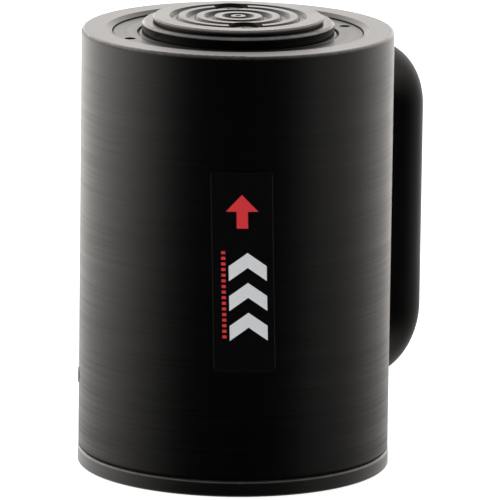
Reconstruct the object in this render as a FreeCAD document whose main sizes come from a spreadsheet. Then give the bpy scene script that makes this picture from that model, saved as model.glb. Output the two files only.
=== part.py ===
"""Single acting, spring return hydraulic cylinder with an aluminium body, in millimetres.

+Z runs up the plunger's axis, the origin is the centre of the base's underside, and +X points
to the carrying handle. The hose coupler stands on the back, port_azimuth degrees round from
the handle.
"""

import FreeCAD
import Part
import Sketcher
import math
import os

SHEET = "Sizes"

# Driving dimensions: each one is a cell of the sheet, under the same name.
DRIVING = {
    # Body and base
    "bore_radius": 47.5,
    "body_wall": 17.5,
    "body_foot_edge": 0.5,
    "rim_edge": 1.5,
    "base_proud": 0.2,
    "base_thick": 6.8,
    "base_upper_edge": 1.0,
    "base_lower_edge": 0.6,
    "floor_top": 34.0,
    # Stop ring
    "ring_step": 4.8,
    "ring_tall": 39.1,
    "ring_recess": 1.7,
    "ring_edge": 0.5,
    "rim_bevel_wide": 2.4,
    "rim_bevel_deep": 1.2,
    "spanner_inset": 4.5,
    "spanner_azimuth": 154.0,
    "spanner_radius": 2.3,
    "spanner_deep": 8.0,
    "wiper_mouth_step": 2.0,
    "wiper_mouth_deep": 1.3,
    "wiper_groove_step": 5.0,
    "wiper_thick": 5.2,
    "wiper_lip_wide": 1.1,
    "wiper_lip_tall": 1.1,
    "rod_guide_step": 2.8,
    "rod_guide_below": 8.5,
    "rod_guide_above": 6.1,
    # Plunger and its head
    "plunger_step": 7.5,
    "plunger_rise": 3.1,
    "plunger_edge": 1.0,
    "stroke": 63.5,
    "head_tall": 46.0,
    "head_gap": 0.3,
    "head_edge": 1.5,
    "nose_step": 4.2,
    "nose_tall": 4.0,
    "seal_below": 6.0,
    "seal_tall": 7.0,
    "seal_groove_deep": 7.0,
    "backup_tall": 3.4,
    "head_guide_below": 15.0,
    "head_guide_tall": 12.0,
    "head_guide_deep": 2.8,
    "plunger_wall": 13.0,
    "plunger_crown": 18.0,
    # Saddle
    "saddle_margin": 4.5,
    "saddle_rise": 2.2,
    "saddle_rim": 1.4,
    "saddle_edge": 0.6,
    "saddle_undercut": 1.2,
    "saddle_deep": 11.4,
    "land_wide": 6.9,
    "ridge_pitch": 7.5,
    "ridge_wide": 2.9,
    "ridge_inset": 5.3,
    "groove_deep": 1.3,
    "groove_slope": 1.0,
    "boss_radius": 3.1,
    "dimple_radius": 1.3,
    "dimple_deep": 3.0,
    "pocket_inset": 13.1,
    "pocket_gap": 0.6,
    "pocket_drop": 1.5,
    "pocket_azimuth": 50.5,
    # Saddle screws
    "saddle_screw_radius": 4.0,
    "saddle_head_radius": 6.5,
    "saddle_head_tall": 8.0,
    "saddle_socket": 6.0,
    "saddle_thread": 12.0,
    "saddle_thread_spare": 2.0,
    # Return spring and its rod
    "rod_radius": 7.0,
    "rod_end_radius": 5.0,
    "rod_anchor": 18.0,
    "rod_end_tall": 14.0,
    "rod_end_edge": 1.0,
    "rod_top_room": 2.0,
    "seat_step": 3.0,
    "seat_sunk": 2.0,
    "seat_tall": 14.0,
    "seat_hole_gap": 1.5,
    "spring_room": 5.0,
    "spring_wire": 4.6,
    "spring_turns": 6.0,
    "spigot_gap": 1.2,
    "spigot_taper": 1.0,
    "spigot_tall": 4.0,
    "retainer_gap": 1.6,
    "retainer_thick": 5.0,
    "rod_nut_flats": 17.0,
    "rod_nut_tall": 8.0,
    # Base fasteners and mounting holes
    "base_inset": 17.5,
    "base_screw_radius": 3.0,
    "base_screw_head": 6.3,
    "base_screw_long": 20.0,
    "base_screw_sunk": 0.6,
    "base_screw_spare": 1.0,
    "base_screw_socket": 4.0,
    "mount_hole_radius": 5.1,
    "mount_hole_deep": 16.0,
    "mount_clear_gap": 1.5,
    # Handle
    "handle_out": 34.8,
    "handle_low": 33.2,
    "handle_below_top": 24.9,
    "handle_bend": 20.0,
    "handle_thick": 20.0,
    "handle_wide": 26.0,
    "handle_screw_radius": 3.0,
    "handle_head_radius": 5.0,
    "handle_head_tall": 6.0,
    "handle_socket": 5.0,
    "handle_cup_gap": 0.6,
    "handle_cup_out": 17.0,
    "handle_hole_deep": 11.0,
    "handle_screw_spare": 1.0,
    # Port and coupler
    "port_azimuth": 70.0,
    "port_below_floor": 7.0,
    "port_radius": 8.6,
    "port_wall": 1.5,
    "port_flat_room": 0.7,
    "port_flat_deep": 1.5,
    "passage_radius": 2.6,
    "passage_inside": 19.5,
    "way_past_wall": 0.3,
    "coupler_flats": 30.0,
    "coupler_hex_tall": 11.5,
    "coupler_neck_step": 2.5,
    "coupler_neck_tall": 3.0,
    "coupler_nose_radius": 13.5,
    "coupler_nose_tall": 20.0,
    "coupler_edge": 1.0,
    "coupler_way_radius": 3.0,
    "socket_wall": 4.0,
    "socket_deep": 12.0,
    "poppet_radius": 6.2,
    "poppet_tip_radius": 4.2,
    "poppet_tall": 6.0,
    "poppet_tip_tall": 3.0,
    "poppet_travel": 3.5,
    "valve_seat_thick": 1.2,
    "valve_spring_radius": 4.6,
    "valve_spring_wire": 1.0,
    "valve_spring_turns": 4.0,
    "valve_spare": 2.0,
    "cap_wall": 3.5,
    "cap_end": 3.0,
    "cap_tall": 19.0,
    "cap_edge": 1.5,
    # Bleed screw, at the foot of the bore
    "bleed_azimuth": 134.5,
    "bleed_above_floor": 2.4,
    "bleed_screw_radius": 3.4,
    "bleed_screw_long": 8.0,
    "bleed_screw_proud": 0.5,
    "bleed_screw_edge": 0.4,
    "bleed_socket": 3.0,
    "bleed_socket_deep": 3.5,
    "bleed_hole_deep": 9.0,
    "bleed_way_radius": 1.2,
    # Fits
    "running_gap": 0.05,
    "thread_gap": 0.05,
    "seal_gap": 0.05,
    "groove_gap": 0.1,
    "screw_gap": 0.5,
    "seat_gap": 0.05,
}

NEAR = 0.001
LIP_TIP = 0.6
HEAD_EDGE = 0.1
SOCKET_DEPTH = 0.55
SUNK_SOCKET_DEPTH = 0.8


class Size:
    """A length that keeps its number and the formula of sheet cells that it comes from."""

    def __init__(self, text, number):
        self.text = text
        self.number = number

    def joined(self, sign, other, number, flipped=False):
        other = as_size(other)
        first, second = (other, self) if flipped else (self, other)
        return Size(f"({first.text} {sign} {second.text})", number(first.number, second.number))

    def __add__(self, other):
        return self.joined("+", other, lambda a, b: a + b)

    def __radd__(self, other):
        return self.joined("+", other, lambda a, b: a + b, flipped=True)

    def __sub__(self, other):
        return self.joined("-", other, lambda a, b: a - b)

    def __rsub__(self, other):
        return self.joined("-", other, lambda a, b: a - b, flipped=True)

    def __mul__(self, other):
        return self.joined("*", other, lambda a, b: a * b)

    def __truediv__(self, other):
        return self.joined("/", other, lambda a, b: a / b)


def as_size(value):
    return value if isinstance(value, Size) else Size(repr(float(value)), float(value))


class Sheet:
    """The driving dimensions, written to the document's sheet and read back by name."""

    def __init__(self, document, driving):
        self.cells = document.addObject("Spreadsheet::Sheet", SHEET)
        for row, (name, number) in enumerate(driving.items(), start=1):
            self.cells.set(f"A{row}", name)
            self.cells.set(f"B{row}", str(number))
            self.cells.setAlias(f"B{row}", name)
        document.recompute()

    def __getattr__(self, name):
        return Size(f"{SHEET}.{name}", float(self.cells.get(name)))


def bind(thing, prop, size):
    """Sets a property and ties it to the sheet."""
    thing.setExpression(prop, as_size(size).text)


def plane_of(body, role):
    return next(f for f in body.Origin.OriginFeatures if f.Role == role)


def new_body(label):
    body = doc.addObject("PartDesign::Body", label)
    body.Label = label
    return body


def new_sketch(body, name, role, offset=None):
    sketch = body.newObject("Sketcher::SketchObject", name)
    sketch.AttachmentSupport = [(plane_of(body, role), "")]
    sketch.MapMode = "FlatFace"
    if offset is not None:
        sketch.AttachmentOffset = offset
    return sketch


def place_point(sketch, where, point):
    """Ties one sketch point to its two coordinates."""
    geometry, end = where
    for axis, size in zip("XY", point):
        size = as_size(size)
        if abs(size.number) < NEAR and size.text == repr(0.0):
            other_axis = -2 if axis == "X" else -1
            sketch.addConstraint(Sketcher.Constraint("PointOnObject", geometry, end, other_axis))
            continue
        number = sketch.addConstraint(
            Sketcher.Constraint(f"Distance{axis}", -1, 1, geometry, end, size.number)
        )
        bind(sketch, f"Constraints[{number}]", size)


def draw_outline(sketch, points):
    """Closes straight lines through points whose coordinates are sizes."""
    corners = [[as_size(c) for c in point] for point in points]
    count = len(corners)
    first = sketch.GeometryCount
    for index, corner in enumerate(corners):
        after = corners[(index + 1) % count]
        start = FreeCAD.Vector(corner[0].number, corner[1].number, 0)
        end = FreeCAD.Vector(after[0].number, after[1].number, 0)
        sketch.addGeometry(Part.LineSegment(start, end), False)
    for index, corner in enumerate(corners):
        line = first + index
        after = first + (index + 1) % count
        sketch.addConstraint(Sketcher.Constraint("Coincident", line, 2, after, 1))
        place_point(sketch, (line, 1), corner)


def draw_circle(sketch, centre, radius):
    radius = as_size(radius)
    centre = [as_size(c) for c in centre]
    middle = FreeCAD.Vector(centre[0].number, centre[1].number, 0)
    shape = Part.Circle(middle, FreeCAD.Vector(0, 0, 1), radius.number)
    circle = sketch.addGeometry(shape, False)
    number = sketch.addConstraint(Sketcher.Constraint("Radius", circle, radius.number))
    bind(sketch, f"Constraints[{number}]", radius)
    place_point(sketch, (circle, 3), centre)


def draw_hexagon(sketch, flats):
    """A hexagon round the sketch's origin, with one corner on its X axis."""
    radius = as_size(flats) / math.sqrt(3)
    corners = []
    for index in range(6):
        turn = math.radians(60 * index)
        x = radius.number * math.cos(turn)
        y = radius.number * math.sin(turn)
        corners.append(FreeCAD.Vector(x, y, 0))
    first = sketch.GeometryCount
    for index in range(6):
        line = Part.LineSegment(corners[index], corners[(index + 1) % 6])
        sketch.addGeometry(line, False)
    rim = Part.Circle(FreeCAD.Vector(0, 0, 0), FreeCAD.Vector(0, 0, 1), radius.number)
    circle = sketch.addGeometry(rim, True)
    sketch.addConstraint(Sketcher.Constraint("Coincident", circle, 3, -1, 1))
    number = sketch.addConstraint(Sketcher.Constraint("Radius", circle, radius.number))
    bind(sketch, f"Constraints[{number}]", radius)
    for index in range(6):
        line = first + index
        after = first + (index + 1) % 6
        sketch.addConstraint(Sketcher.Constraint("Coincident", line, 2, after, 1))
        sketch.addConstraint(Sketcher.Constraint("PointOnObject", line, 1, circle))
        if index:
            sketch.addConstraint(Sketcher.Constraint("Equal", first, line))
    sketch.addConstraint(Sketcher.Constraint("PointOnObject", first, 1, -1))


def draw_oval(sketch, height, wide, tall):
    """An ellipse on the sketch's Y axis, as wide and as tall as it is told."""
    middle = FreeCAD.Vector(0, height.number, 0)
    across = FreeCAD.Vector(wide.number / 2, height.number, 0)
    upwards = FreeCAD.Vector(0, height.number + tall.number / 2, 0)
    oval = sketch.addGeometry(Part.Ellipse(across, upwards, middle), False)
    sketch.exposeInternalGeometry(oval)
    place_point(sketch, (oval, 3), (0, height))
    sketch.addConstraint(Sketcher.Constraint("Horizontal", oval + 1))
    for line, size in ((oval + 1, wide), (oval + 2, tall)):
        number = sketch.addConstraint(Sketcher.Constraint("Distance", line, size.number))
        bind(sketch, f"Constraints[{number}]", size)


def draw_bent_route(sketch, points, bend):
    """Straight runs between pairs of points, joined by arcs of one radius."""
    corners = [FreeCAD.Vector(x.number, y.number, 0) for x, y in points]
    runs = []
    for index in range(0, len(points), 2):
        if runs:
            middle = arc_middle(corners[index - 1], corners[index], bend.number)
            arc = Part.Arc(corners[index - 1], middle, corners[index])
            bow = sketch.addGeometry(arc, False)
            runs.append(bow)
        line = Part.LineSegment(corners[index], corners[index + 1])
        runs.append(sketch.addGeometry(line, False))
        place_point(sketch, (runs[-1], 1), points[index])
        place_point(sketch, (runs[-1], 2), points[index + 1])
    for number, run in enumerate(runs):
        if number % 2 == 0:
            continue
        radius = sketch.addConstraint(Sketcher.Constraint("Radius", run, bend.number))
        bind(sketch, f"Constraints[{radius}]", bend)
        sketch.addConstraint(Sketcher.Constraint("Coincident", runs[number - 1], 2, run, 1))
        sketch.addConstraint(Sketcher.Constraint("Coincident", run, 2, runs[number + 1], 1))


def arc_middle(start, end, radius):
    """The middle of a quarter bend that bulges away from the sketch's Y axis."""
    chord = (start + end) * 0.5
    corner = FreeCAD.Vector(max(start.x, end.x), start.y if start.x < end.x else end.y, 0)
    towards = (corner - chord).normalize()
    return chord + towards * radius * (1 - math.sqrt(0.5))


def turned(label, points):
    """A piece turned about +Z from a profile of (radius, height) points."""
    body = new_body(label)
    sketch = new_sketch(body, f"{label}_profile", "XZ_Plane")
    draw_outline(sketch, points)
    turn = body.newObject("PartDesign::Revolution", f"{label}_turned")
    turn.Profile = sketch
    turn.ReferenceAxis = (sketch, ["V_Axis"])
    turn.Angle = 360.0
    doc.recompute()
    return body


def cut_down(body, name, drawing, top, deep, upwards=False):
    """Cuts a drawn shape from the height top down by deep, or up from it."""
    sketch = new_sketch(body, f"{name}_sketch", "XY_Plane")
    bind(sketch, ".AttachmentOffset.Base.z", top)
    drawing(sketch)
    before = body.Shape.Volume
    pocket = body.newObject("PartDesign::Pocket", name)
    pocket.Profile = sketch
    pocket.Type = "Length"
    pocket.Reversed = upwards
    bind(pocket, "Length", deep)
    doc.recompute()
    check_cut(name, before, body)
    return pocket


def cut_up(body, name, drawing, low, deep):
    """Cuts a drawn shape from the height low up by deep."""
    pocket = cut_down(body, name, drawing, low, deep, upwards=True)
    return pocket


def check_cut(name, before, body):
    if body.Shape.Volume >= before - NEAR:
        raise RuntimeError(f"{name} cuts nothing")


def repeat_round(body, name, feature, count):
    """Repeats a feature evenly about the body's Z axis."""
    pattern = body.newObject("PartDesign::PolarPattern", name)
    pattern.Originals = [feature]
    pattern.Axis = (plane_of(body, "Z_Axis"), [""])
    pattern.Angle = 360.0
    pattern.Occurrences = count
    body.Tip = pattern
    doc.recompute()
    return pattern


def drill_inward(body, name, azimuth, height, start, radius, deep):
    """Drills a round hole towards the axis, from the radius start, at an angle round it."""
    azimuth, height, start = as_size(azimuth), as_size(height), as_size(start)
    turn = math.radians(azimuth.number)
    sideways, outwards = start.number * math.sin(turn), start.number * math.cos(turn)
    base = FreeCAD.Vector(sideways, height.number, outwards)
    rotation = FreeCAD.Rotation(FreeCAD.Vector(0, 1, 0), azimuth.number)
    sketch = new_sketch(body, f"{name}_sketch", "YZ_Plane", FreeCAD.Placement(base, rotation))
    bind(sketch, ".AttachmentOffset.Base.y", height)
    draw_circle(sketch, (0, 0), radius)
    before = body.Shape.Volume
    pocket = body.newObject("PartDesign::Pocket", name)
    pocket.Profile = sketch
    pocket.Type = "Length"
    bind(pocket, "Length", deep)
    doc.recompute()
    check_cut(name, before, body)
    return pocket


def along(azimuth, height):
    """The placement that lays a turned piece's axis outwards, at an angle and a height."""
    turn = math.radians(as_size(azimuth).number)
    sideways = FreeCAD.Vector(-math.sin(turn), math.cos(turn), 0)
    rotation = FreeCAD.Rotation(sideways, 90)
    return FreeCAD.Placement(FreeCAD.Vector(0, 0, as_size(height).number), rotation)


def ring_edges(body, radius, height):
    """Names the round edges of one radius at one height."""
    found = []
    for number, edge in enumerate(body.Tip.Shape.Edges, start=1):
        curve = edge.Curve
        if not isinstance(curve, Part.Circle):
            continue
        if abs(curve.Radius - radius.number) > NEAR or abs(curve.Center.z - height.number) > NEAR:
            continue
        found.append(f"Edge{number}")
    if not found:
        raise RuntimeError(f"{body.Label} has no round edge there")
    return found


def dress_edges(body, kind, name, edges, size):
    """Adds a Fillet or a Chamfer to named edges of the body as it stands."""
    base = body.Tip
    dressing = body.newObject(f"PartDesign::{kind}", name)
    dressing.Base = (base, edges)
    body.Tip = dressing
    bind(dressing, "Radius" if kind == "Fillet" else "Size", size)
    doc.recompute()
    return dressing


def copies(label, source, placements):
    """One node of separate equal solids, each a placed copy of the source's shape."""
    solids = []
    for placement in placements:
        solid = source.Shape.copy()
        solid.Placement = placement.multiply(solid.Placement)
        solids.append(solid)
    group = doc.addObject("Part::Feature", label)
    group.Label = label
    group.Shape = Part.makeCompound(solids)
    return group


def round_places(first, height, count):
    """Upright placements, evenly round the axis from a first X and Y."""
    places = []
    for index in range(count):
        spin = FreeCAD.Rotation(FreeCAD.Vector(0, 0, 1), 360 * index / count)
        base = spin.multVec(FreeCAD.Vector(first[0].number, first[1].number, height.number))
        places.append(FreeCAD.Placement(base, FreeCAD.Rotation()))
    return places


def coil(label, middle_radius, wire, turns, low, high, placement=None):
    """A closed spring coil, standing on +Z between two heights."""
    wire_radius = wire.number / 2
    bottom = low.number + wire_radius
    tall = high.number - low.number - wire.number
    path = Part.makeHelix(tall / turns.number, tall, middle_radius.number)
    start = FreeCAD.Vector(middle_radius.number, 0, 0)
    section = Part.Wire(Part.makeCircle(wire_radius, start, FreeCAD.Vector(0, 1, 0)))
    solid = Part.Wire(path.Edges).makePipeShell([section], True, True)
    solid.translate(FreeCAD.Vector(0, 0, bottom))
    node = doc.addObject("Part::Feature", label)
    node.Label = label
    node.Shape = solid
    if placement is not None:
        node.Placement = placement.multiply(node.Placement)
    return node


os.makedirs("parts", exist_ok=True)
doc = FreeCAD.newDocument("HydraulicCylinder")
s = Sheet(doc, DRIVING)
nodes = []

# Heights that several pieces share, from the floor of the bore upwards
head_top = s.floor_top + s.head_tall
ring_bottom = head_top + s.stroke
ring_face = ring_bottom + s.ring_tall
body_top = ring_face + s.ring_recess
plunger_top = body_top + s.plunger_rise
saddle_top = plunger_top + s.saddle_rise
saddle_floor = plunger_top - s.saddle_deep
cavity_top = saddle_floor - s.plunger_crown
rod_top = cavity_top - s.rod_top_room
retainer_low = rod_top - s.rod_end_tall
seat_low = s.floor_top + s.seat_sunk
seat_top = seat_low + s.seat_tall
head_seat = saddle_top - s.pocket_drop - s.saddle_head_tall
port_height = s.floor_top - s.port_below_floor
handle_high = body_top - s.handle_below_top

# Radii that several pieces share, from the bore outwards and inwards
body_radius = s.bore_radius + s.body_wall
base_radius = body_radius + s.base_proud
base_circle = body_radius - s.base_inset
ring_radius = s.bore_radius + s.ring_step
head_radius = s.bore_radius - s.head_gap
plunger_radius = s.bore_radius - s.plunger_step
ring_bore = plunger_radius + s.head_gap
cavity_radius = plunger_radius - s.plunger_wall
seat_radius = cavity_radius + s.seat_step
seat_hole_radius = s.rod_radius + s.seat_hole_gap
spring_radius = cavity_radius - s.spring_room
spigot_radius = spring_radius - s.spring_wire / 2 - s.spigot_gap
retainer_radius = cavity_radius - s.retainer_gap
saddle_radius = plunger_radius - s.saddle_margin
pocket_circle = saddle_radius - s.pocket_inset
handle_reach = body_radius + s.handle_out
handle_cup_at = body_radius + s.handle_cup_out


def round_at(circle, azimuth):
    """The X and Y of a point on a circle round the axis."""
    turn = math.radians(as_size(azimuth).number)
    return circle * math.cos(turn), circle * math.sin(turn)


riser_at = round_at(
    s.bore_radius - s.passage_inside + s.passage_radius, s.port_azimuth)
spanner_at = round_at(ring_radius - s.spanner_inset, s.spanner_azimuth)
pocket_at = round_at(pocket_circle, s.pocket_azimuth)
screw_at = round_at(base_circle, 45)

# Base plate: a steel disc that carries the load, with countersunk holes from below
base_plate = turned("base_plate", [
    (0, 0),
    (base_radius - s.base_lower_edge, 0),
    (base_radius, s.base_lower_edge),
    (base_radius, s.base_thick - s.base_upper_edge),
    (base_radius - s.base_upper_edge, s.base_thick),
    (0, s.base_thick),
])
sink_radius = s.base_screw_head + s.base_screw_sunk
screw_way_radius = s.base_screw_radius + s.screw_gap
screw_hole = cut_down(
    base_plate, "screw_hole", lambda k: draw_circle(k, screw_at, screw_way_radius),
    s.base_thick, s.base_thick)
repeat_round(base_plate, "screw_holes", screw_hole, 4)
mount_clear = cut_down(
    base_plate, "mount_clear",
    lambda k: draw_circle(k, (base_circle, 0), s.mount_hole_radius + s.mount_clear_gap),
    s.base_thick, s.base_thick)
repeat_round(base_plate, "mount_clears", mount_clear, 4)
sink_edges = ring_edges(base_plate, screw_way_radius, as_size(0))
dress_edges(base_plate, "Chamfer", "sinks", sink_edges, sink_radius - screw_way_radius)
nodes.append(base_plate)

# Body: one turned aluminium piece, closed below, threaded above for the stop ring
cylinder_body = turned("cylinder_body", [
    (0, s.base_thick),
    (body_radius - s.body_foot_edge, s.base_thick),
    (body_radius, s.base_thick + s.body_foot_edge),
    (body_radius, body_top),
    (ring_radius + s.rim_bevel_wide, body_top),
    (ring_radius, body_top - s.rim_bevel_deep),
    (ring_radius, ring_bottom),
    (s.bore_radius, ring_bottom),
    (s.bore_radius, s.floor_top),
    (s.rod_radius + s.thread_gap, s.floor_top),
    (s.rod_radius + s.thread_gap, s.floor_top - s.rod_anchor),
    (0, s.floor_top - s.rod_anchor),
])
port_deep = s.body_wall - s.port_wall
rim = ring_edges(cylinder_body, body_radius, body_top)
dress_edges(cylinder_body, "Fillet", "rim_round", rim, s.rim_edge)
drill_inward(
    cylinder_body, "port_face", s.port_azimuth, port_height, body_radius,
    s.coupler_flats / math.sqrt(3) + s.port_flat_room, s.port_flat_deep)
drill_inward(
    cylinder_body, "port", s.port_azimuth, port_height, body_radius,
    s.port_radius, port_deep)
drill_inward(
    cylinder_body, "port_passage", s.port_azimuth, port_height, body_radius,
    s.passage_radius, s.body_wall + s.passage_inside)
cut_down(
    cylinder_body, "port_riser", lambda k: draw_circle(k, riser_at, s.passage_radius),
    s.floor_top, s.floor_top - port_height)
bleed_height = s.floor_top + s.bleed_above_floor
drill_inward(
    cylinder_body, "bleed_hole", s.bleed_azimuth, bleed_height, body_radius,
    s.bleed_screw_radius + s.thread_gap, s.bleed_hole_deep)
drill_inward(
    cylinder_body, "bleed_way", s.bleed_azimuth, bleed_height, body_radius,
    s.bleed_way_radius, s.body_wall + s.way_past_wall)
mount_hole = cut_up(
    cylinder_body, "mount_hole", lambda k: draw_circle(k, (base_circle, 0), s.mount_hole_radius),
    s.base_thick, s.mount_hole_deep)
repeat_round(cylinder_body, "mount_holes", mount_hole, 4)
base_screw_hole = cut_up(
    cylinder_body, "base_screw_hole",
    lambda k: draw_circle(k, screw_at, s.base_screw_radius + s.thread_gap),
    s.base_thick, s.base_screw_sunk + s.base_screw_long + s.base_screw_spare - s.base_thick)
repeat_round(cylinder_body, "base_screw_holes", base_screw_hole, 4)
for name, height in (("handle_hole_low", s.handle_low), ("handle_hole_high", handle_high)):
    drill_inward(
        cylinder_body, name, 0, height, body_radius,
        s.handle_screw_radius + s.thread_gap, s.handle_hole_deep)
nodes.append(cylinder_body)

# Stop ring: threaded into the body's mouth, with two holes for a pin spanner
wiper_top = ring_face - s.wiper_mouth_deep
wiper_low = wiper_top - s.wiper_thick
wiper_mouth_radius = plunger_radius + s.wiper_mouth_step
wiper_groove_radius = plunger_radius + s.wiper_groove_step
guide_low = ring_bottom + s.rod_guide_below
guide_high = wiper_low - s.rod_guide_above
rod_guide_radius = plunger_radius + s.rod_guide_step
ring_outside = ring_radius - s.thread_gap
stop_ring = turned("stop_ring", [
    (ring_bore, ring_bottom),
    (ring_outside, ring_bottom),
    (ring_outside, ring_face - s.ring_edge),
    (ring_outside - s.ring_edge, ring_face),
    (wiper_mouth_radius, ring_face),
    (wiper_mouth_radius, wiper_top),
    (wiper_groove_radius, wiper_top),
    (wiper_groove_radius, wiper_low),
    (ring_bore, wiper_low),
    (ring_bore, guide_high),
    (rod_guide_radius, guide_high),
    (rod_guide_radius, guide_low),
    (ring_bore, guide_low),
])
spanner_hole = cut_down(
    stop_ring, "spanner_hole", lambda k: draw_circle(k, spanner_at, s.spanner_radius),
    ring_face, s.spanner_deep)
repeat_round(stop_ring, "spanner_holes", spanner_hole, 2)
nodes.append(stop_ring)

# Wiper: a rubber ring whose lip shows round the plunger
rod_side = plunger_radius + s.seal_gap
wiper_out = wiper_groove_radius - s.groove_gap
wiper_foot = wiper_low + s.groove_gap
wiper_head = wiper_top - s.groove_gap
wiper_lip_top = wiper_top + s.wiper_lip_tall
wiper_seal = turned("wiper_seal", [
    (rod_side + s.wiper_lip_wide / 2, wiper_foot),
    (wiper_out, wiper_foot),
    (wiper_out, wiper_head),
    (rod_side + s.wiper_lip_wide, wiper_head),
    (rod_side + s.wiper_lip_wide, wiper_lip_top - s.wiper_lip_wide / 3),
    (rod_side + s.wiper_lip_wide * LIP_TIP, wiper_lip_top),
    (rod_side, wiper_lip_top),
    (rod_side, wiper_head - s.wiper_lip_tall),
])
nodes.append(wiper_seal)

# Rod guide: a split bearing strip in the stop ring's bore
nodes.append(turned("rod_guide_ring", [
    (plunger_radius + s.running_gap, guide_low + s.groove_gap),
    (rod_guide_radius - s.groove_gap, guide_low + s.groove_gap),
    (rod_guide_radius - s.groove_gap, guide_high - s.groove_gap),
    (plunger_radius + s.running_gap, guide_high - s.groove_gap),
]))

# Plunger: hollow from below, with the head's seal and guide grooves and the saddle's seat above
seal_low = s.floor_top + s.seal_below
seal_high = seal_low + s.seal_tall + s.backup_tall
head_guide_high = head_top - s.head_guide_below + s.head_guide_tall / 2
head_guide_low = head_guide_high - s.head_guide_tall
seal_groove_radius = s.bore_radius - s.seal_groove_deep
head_guide_radius = s.bore_radius - s.head_guide_deep
nose_radius = head_radius - s.nose_step
neck_radius = saddle_radius - s.saddle_undercut
seat_side = seat_radius + s.thread_gap
plunger = turned("plunger", [
    (seat_side, s.floor_top),
    (nose_radius, s.floor_top),
    (nose_radius, s.floor_top + s.nose_tall),
    (head_radius, s.floor_top + s.nose_tall),
    (head_radius, seal_low),
    (seal_groove_radius, seal_low),
    (seal_groove_radius, seal_high),
    (head_radius, seal_high),
    (head_radius, head_guide_low),
    (head_guide_radius, head_guide_low),
    (head_guide_radius, head_guide_high),
    (head_radius, head_guide_high),
    (head_radius, head_top - s.head_edge),
    (head_radius - s.head_edge, head_top),
    (plunger_radius, head_top),
    (plunger_radius, plunger_top - s.plunger_edge),
    (plunger_radius - s.plunger_edge, plunger_top),
    (neck_radius + s.seat_gap, plunger_top),
    (neck_radius + s.seat_gap, saddle_floor),
    (0, saddle_floor),
    (0, cavity_top),
    (cavity_radius, cavity_top),
    (cavity_radius, seat_top),
    (seat_side, seat_top),
])
saddle_thread = cut_down(
    plunger, "saddle_thread",
    lambda k: draw_circle(k, pocket_at, s.saddle_screw_radius + s.thread_gap),
    saddle_floor, s.saddle_thread + s.saddle_thread_spare)
repeat_round(plunger, "saddle_threads", saddle_thread, 2)
nodes.append(plunger)

# Head's seal set: a lipped seal towards the oil, its back-up ring and a guide strip above
bore_side = s.bore_radius - s.seal_gap
seal_inside = seal_groove_radius + s.seal_gap
lip_low = seal_low + s.groove_gap
lip_high = seal_low + s.seal_tall
lip_wide = (bore_side - seal_inside) / 4
nodes.append(turned("head_seal", [
    (seal_inside, lip_low),
    (seal_inside + lip_wide, lip_low),
    (seal_inside + lip_wide * 2, lip_low + s.seal_tall / 2),
    (bore_side - lip_wide, lip_low),
    (bore_side, lip_low),
    (bore_side, lip_high),
    (seal_inside, lip_high),
]))
nodes.append(turned("seal_backup_ring", [
    (seal_inside, lip_high + s.groove_gap),
    (bore_side - s.groove_gap, lip_high + s.groove_gap),
    (bore_side - s.groove_gap, seal_high - s.groove_gap),
    (seal_inside, seal_high - s.groove_gap),
]))
nodes.append(turned("head_guide_ring", [
    (head_guide_radius + s.groove_gap, head_guide_low + s.groove_gap),
    (s.bore_radius - s.running_gap, head_guide_low + s.groove_gap),
    (s.bore_radius - s.running_gap, head_guide_high - s.groove_gap),
    (head_guide_radius + s.groove_gap, head_guide_high - s.groove_gap),
]))

# Saddle: grooved load pad, held by two screws in deep round pockets
groove_floor = saddle_top - s.groove_deep
land_radius = saddle_radius - s.land_wide
ridge_middle = land_radius - s.ridge_inset
ridge_half = s.ridge_wide / 2
boss_foot = s.boss_radius + s.groove_slope / 2
ridge_room = ridge_middle - ridge_half - s.groove_slope - boss_foot
profile = [
    (0, saddle_floor),
    (neck_radius, saddle_floor),
    (neck_radius, saddle_top - s.saddle_rim),
    (saddle_radius, saddle_top - s.saddle_rim),
    (saddle_radius, saddle_top - s.saddle_edge),
    (saddle_radius - s.saddle_edge, saddle_top),
    (land_radius, saddle_top),
]
inner_edge = land_radius
for ridge in range(1 + int(ridge_room.number // s.ridge_pitch.number)):
    outside = ridge_middle + ridge_half
    inside = ridge_middle - ridge_half
    profile += [
        (inner_edge - s.groove_slope, groove_floor),
        (outside + s.groove_slope, groove_floor),
        (outside, saddle_top),
        (inside, saddle_top),
    ]
    inner_edge = inside
    ridge_middle = ridge_middle - s.ridge_pitch
profile += [
    (inner_edge - s.groove_slope, groove_floor),
    (boss_foot, groove_floor),
    (s.boss_radius, saddle_top),
    (s.dimple_radius, saddle_top),
    (0, saddle_top - s.dimple_deep),
]
saddle = turned("saddle", profile)
saddle_cup = cut_down(
    saddle, "screw_cup",
    lambda k: draw_circle(k, pocket_at, s.saddle_head_radius + s.pocket_gap),
    saddle_top, saddle_top - head_seat)
repeat_round(saddle, "screw_cups", saddle_cup, 2)
saddle_way = cut_down(
    saddle, "screw_way",
    lambda k: draw_circle(k, pocket_at, s.saddle_screw_radius + s.screw_gap),
    head_seat, head_seat - saddle_floor)
repeat_round(saddle, "screw_ways", saddle_way, 2)
nodes.append(saddle)


def socket_screw(label, radius, head_radius, head_tall, flats, long):
    """A socket head screw, its head's underside at height 0 and its thread below."""
    top = as_size(head_tall)
    edge = head_radius * HEAD_EDGE
    body = turned(label, [
        (0, 0 - as_size(long)),
        (radius - edge, 0 - as_size(long)),
        (radius, edge - as_size(long)),
        (radius, 0),
        (head_radius, 0),
        (head_radius, top - edge),
        (head_radius - edge, top),
        (0, top),
    ])
    cut_down(body, f"{label}_socket", lambda k: draw_hexagon(k, flats), top, top * SOCKET_DEPTH)
    return body


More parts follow.
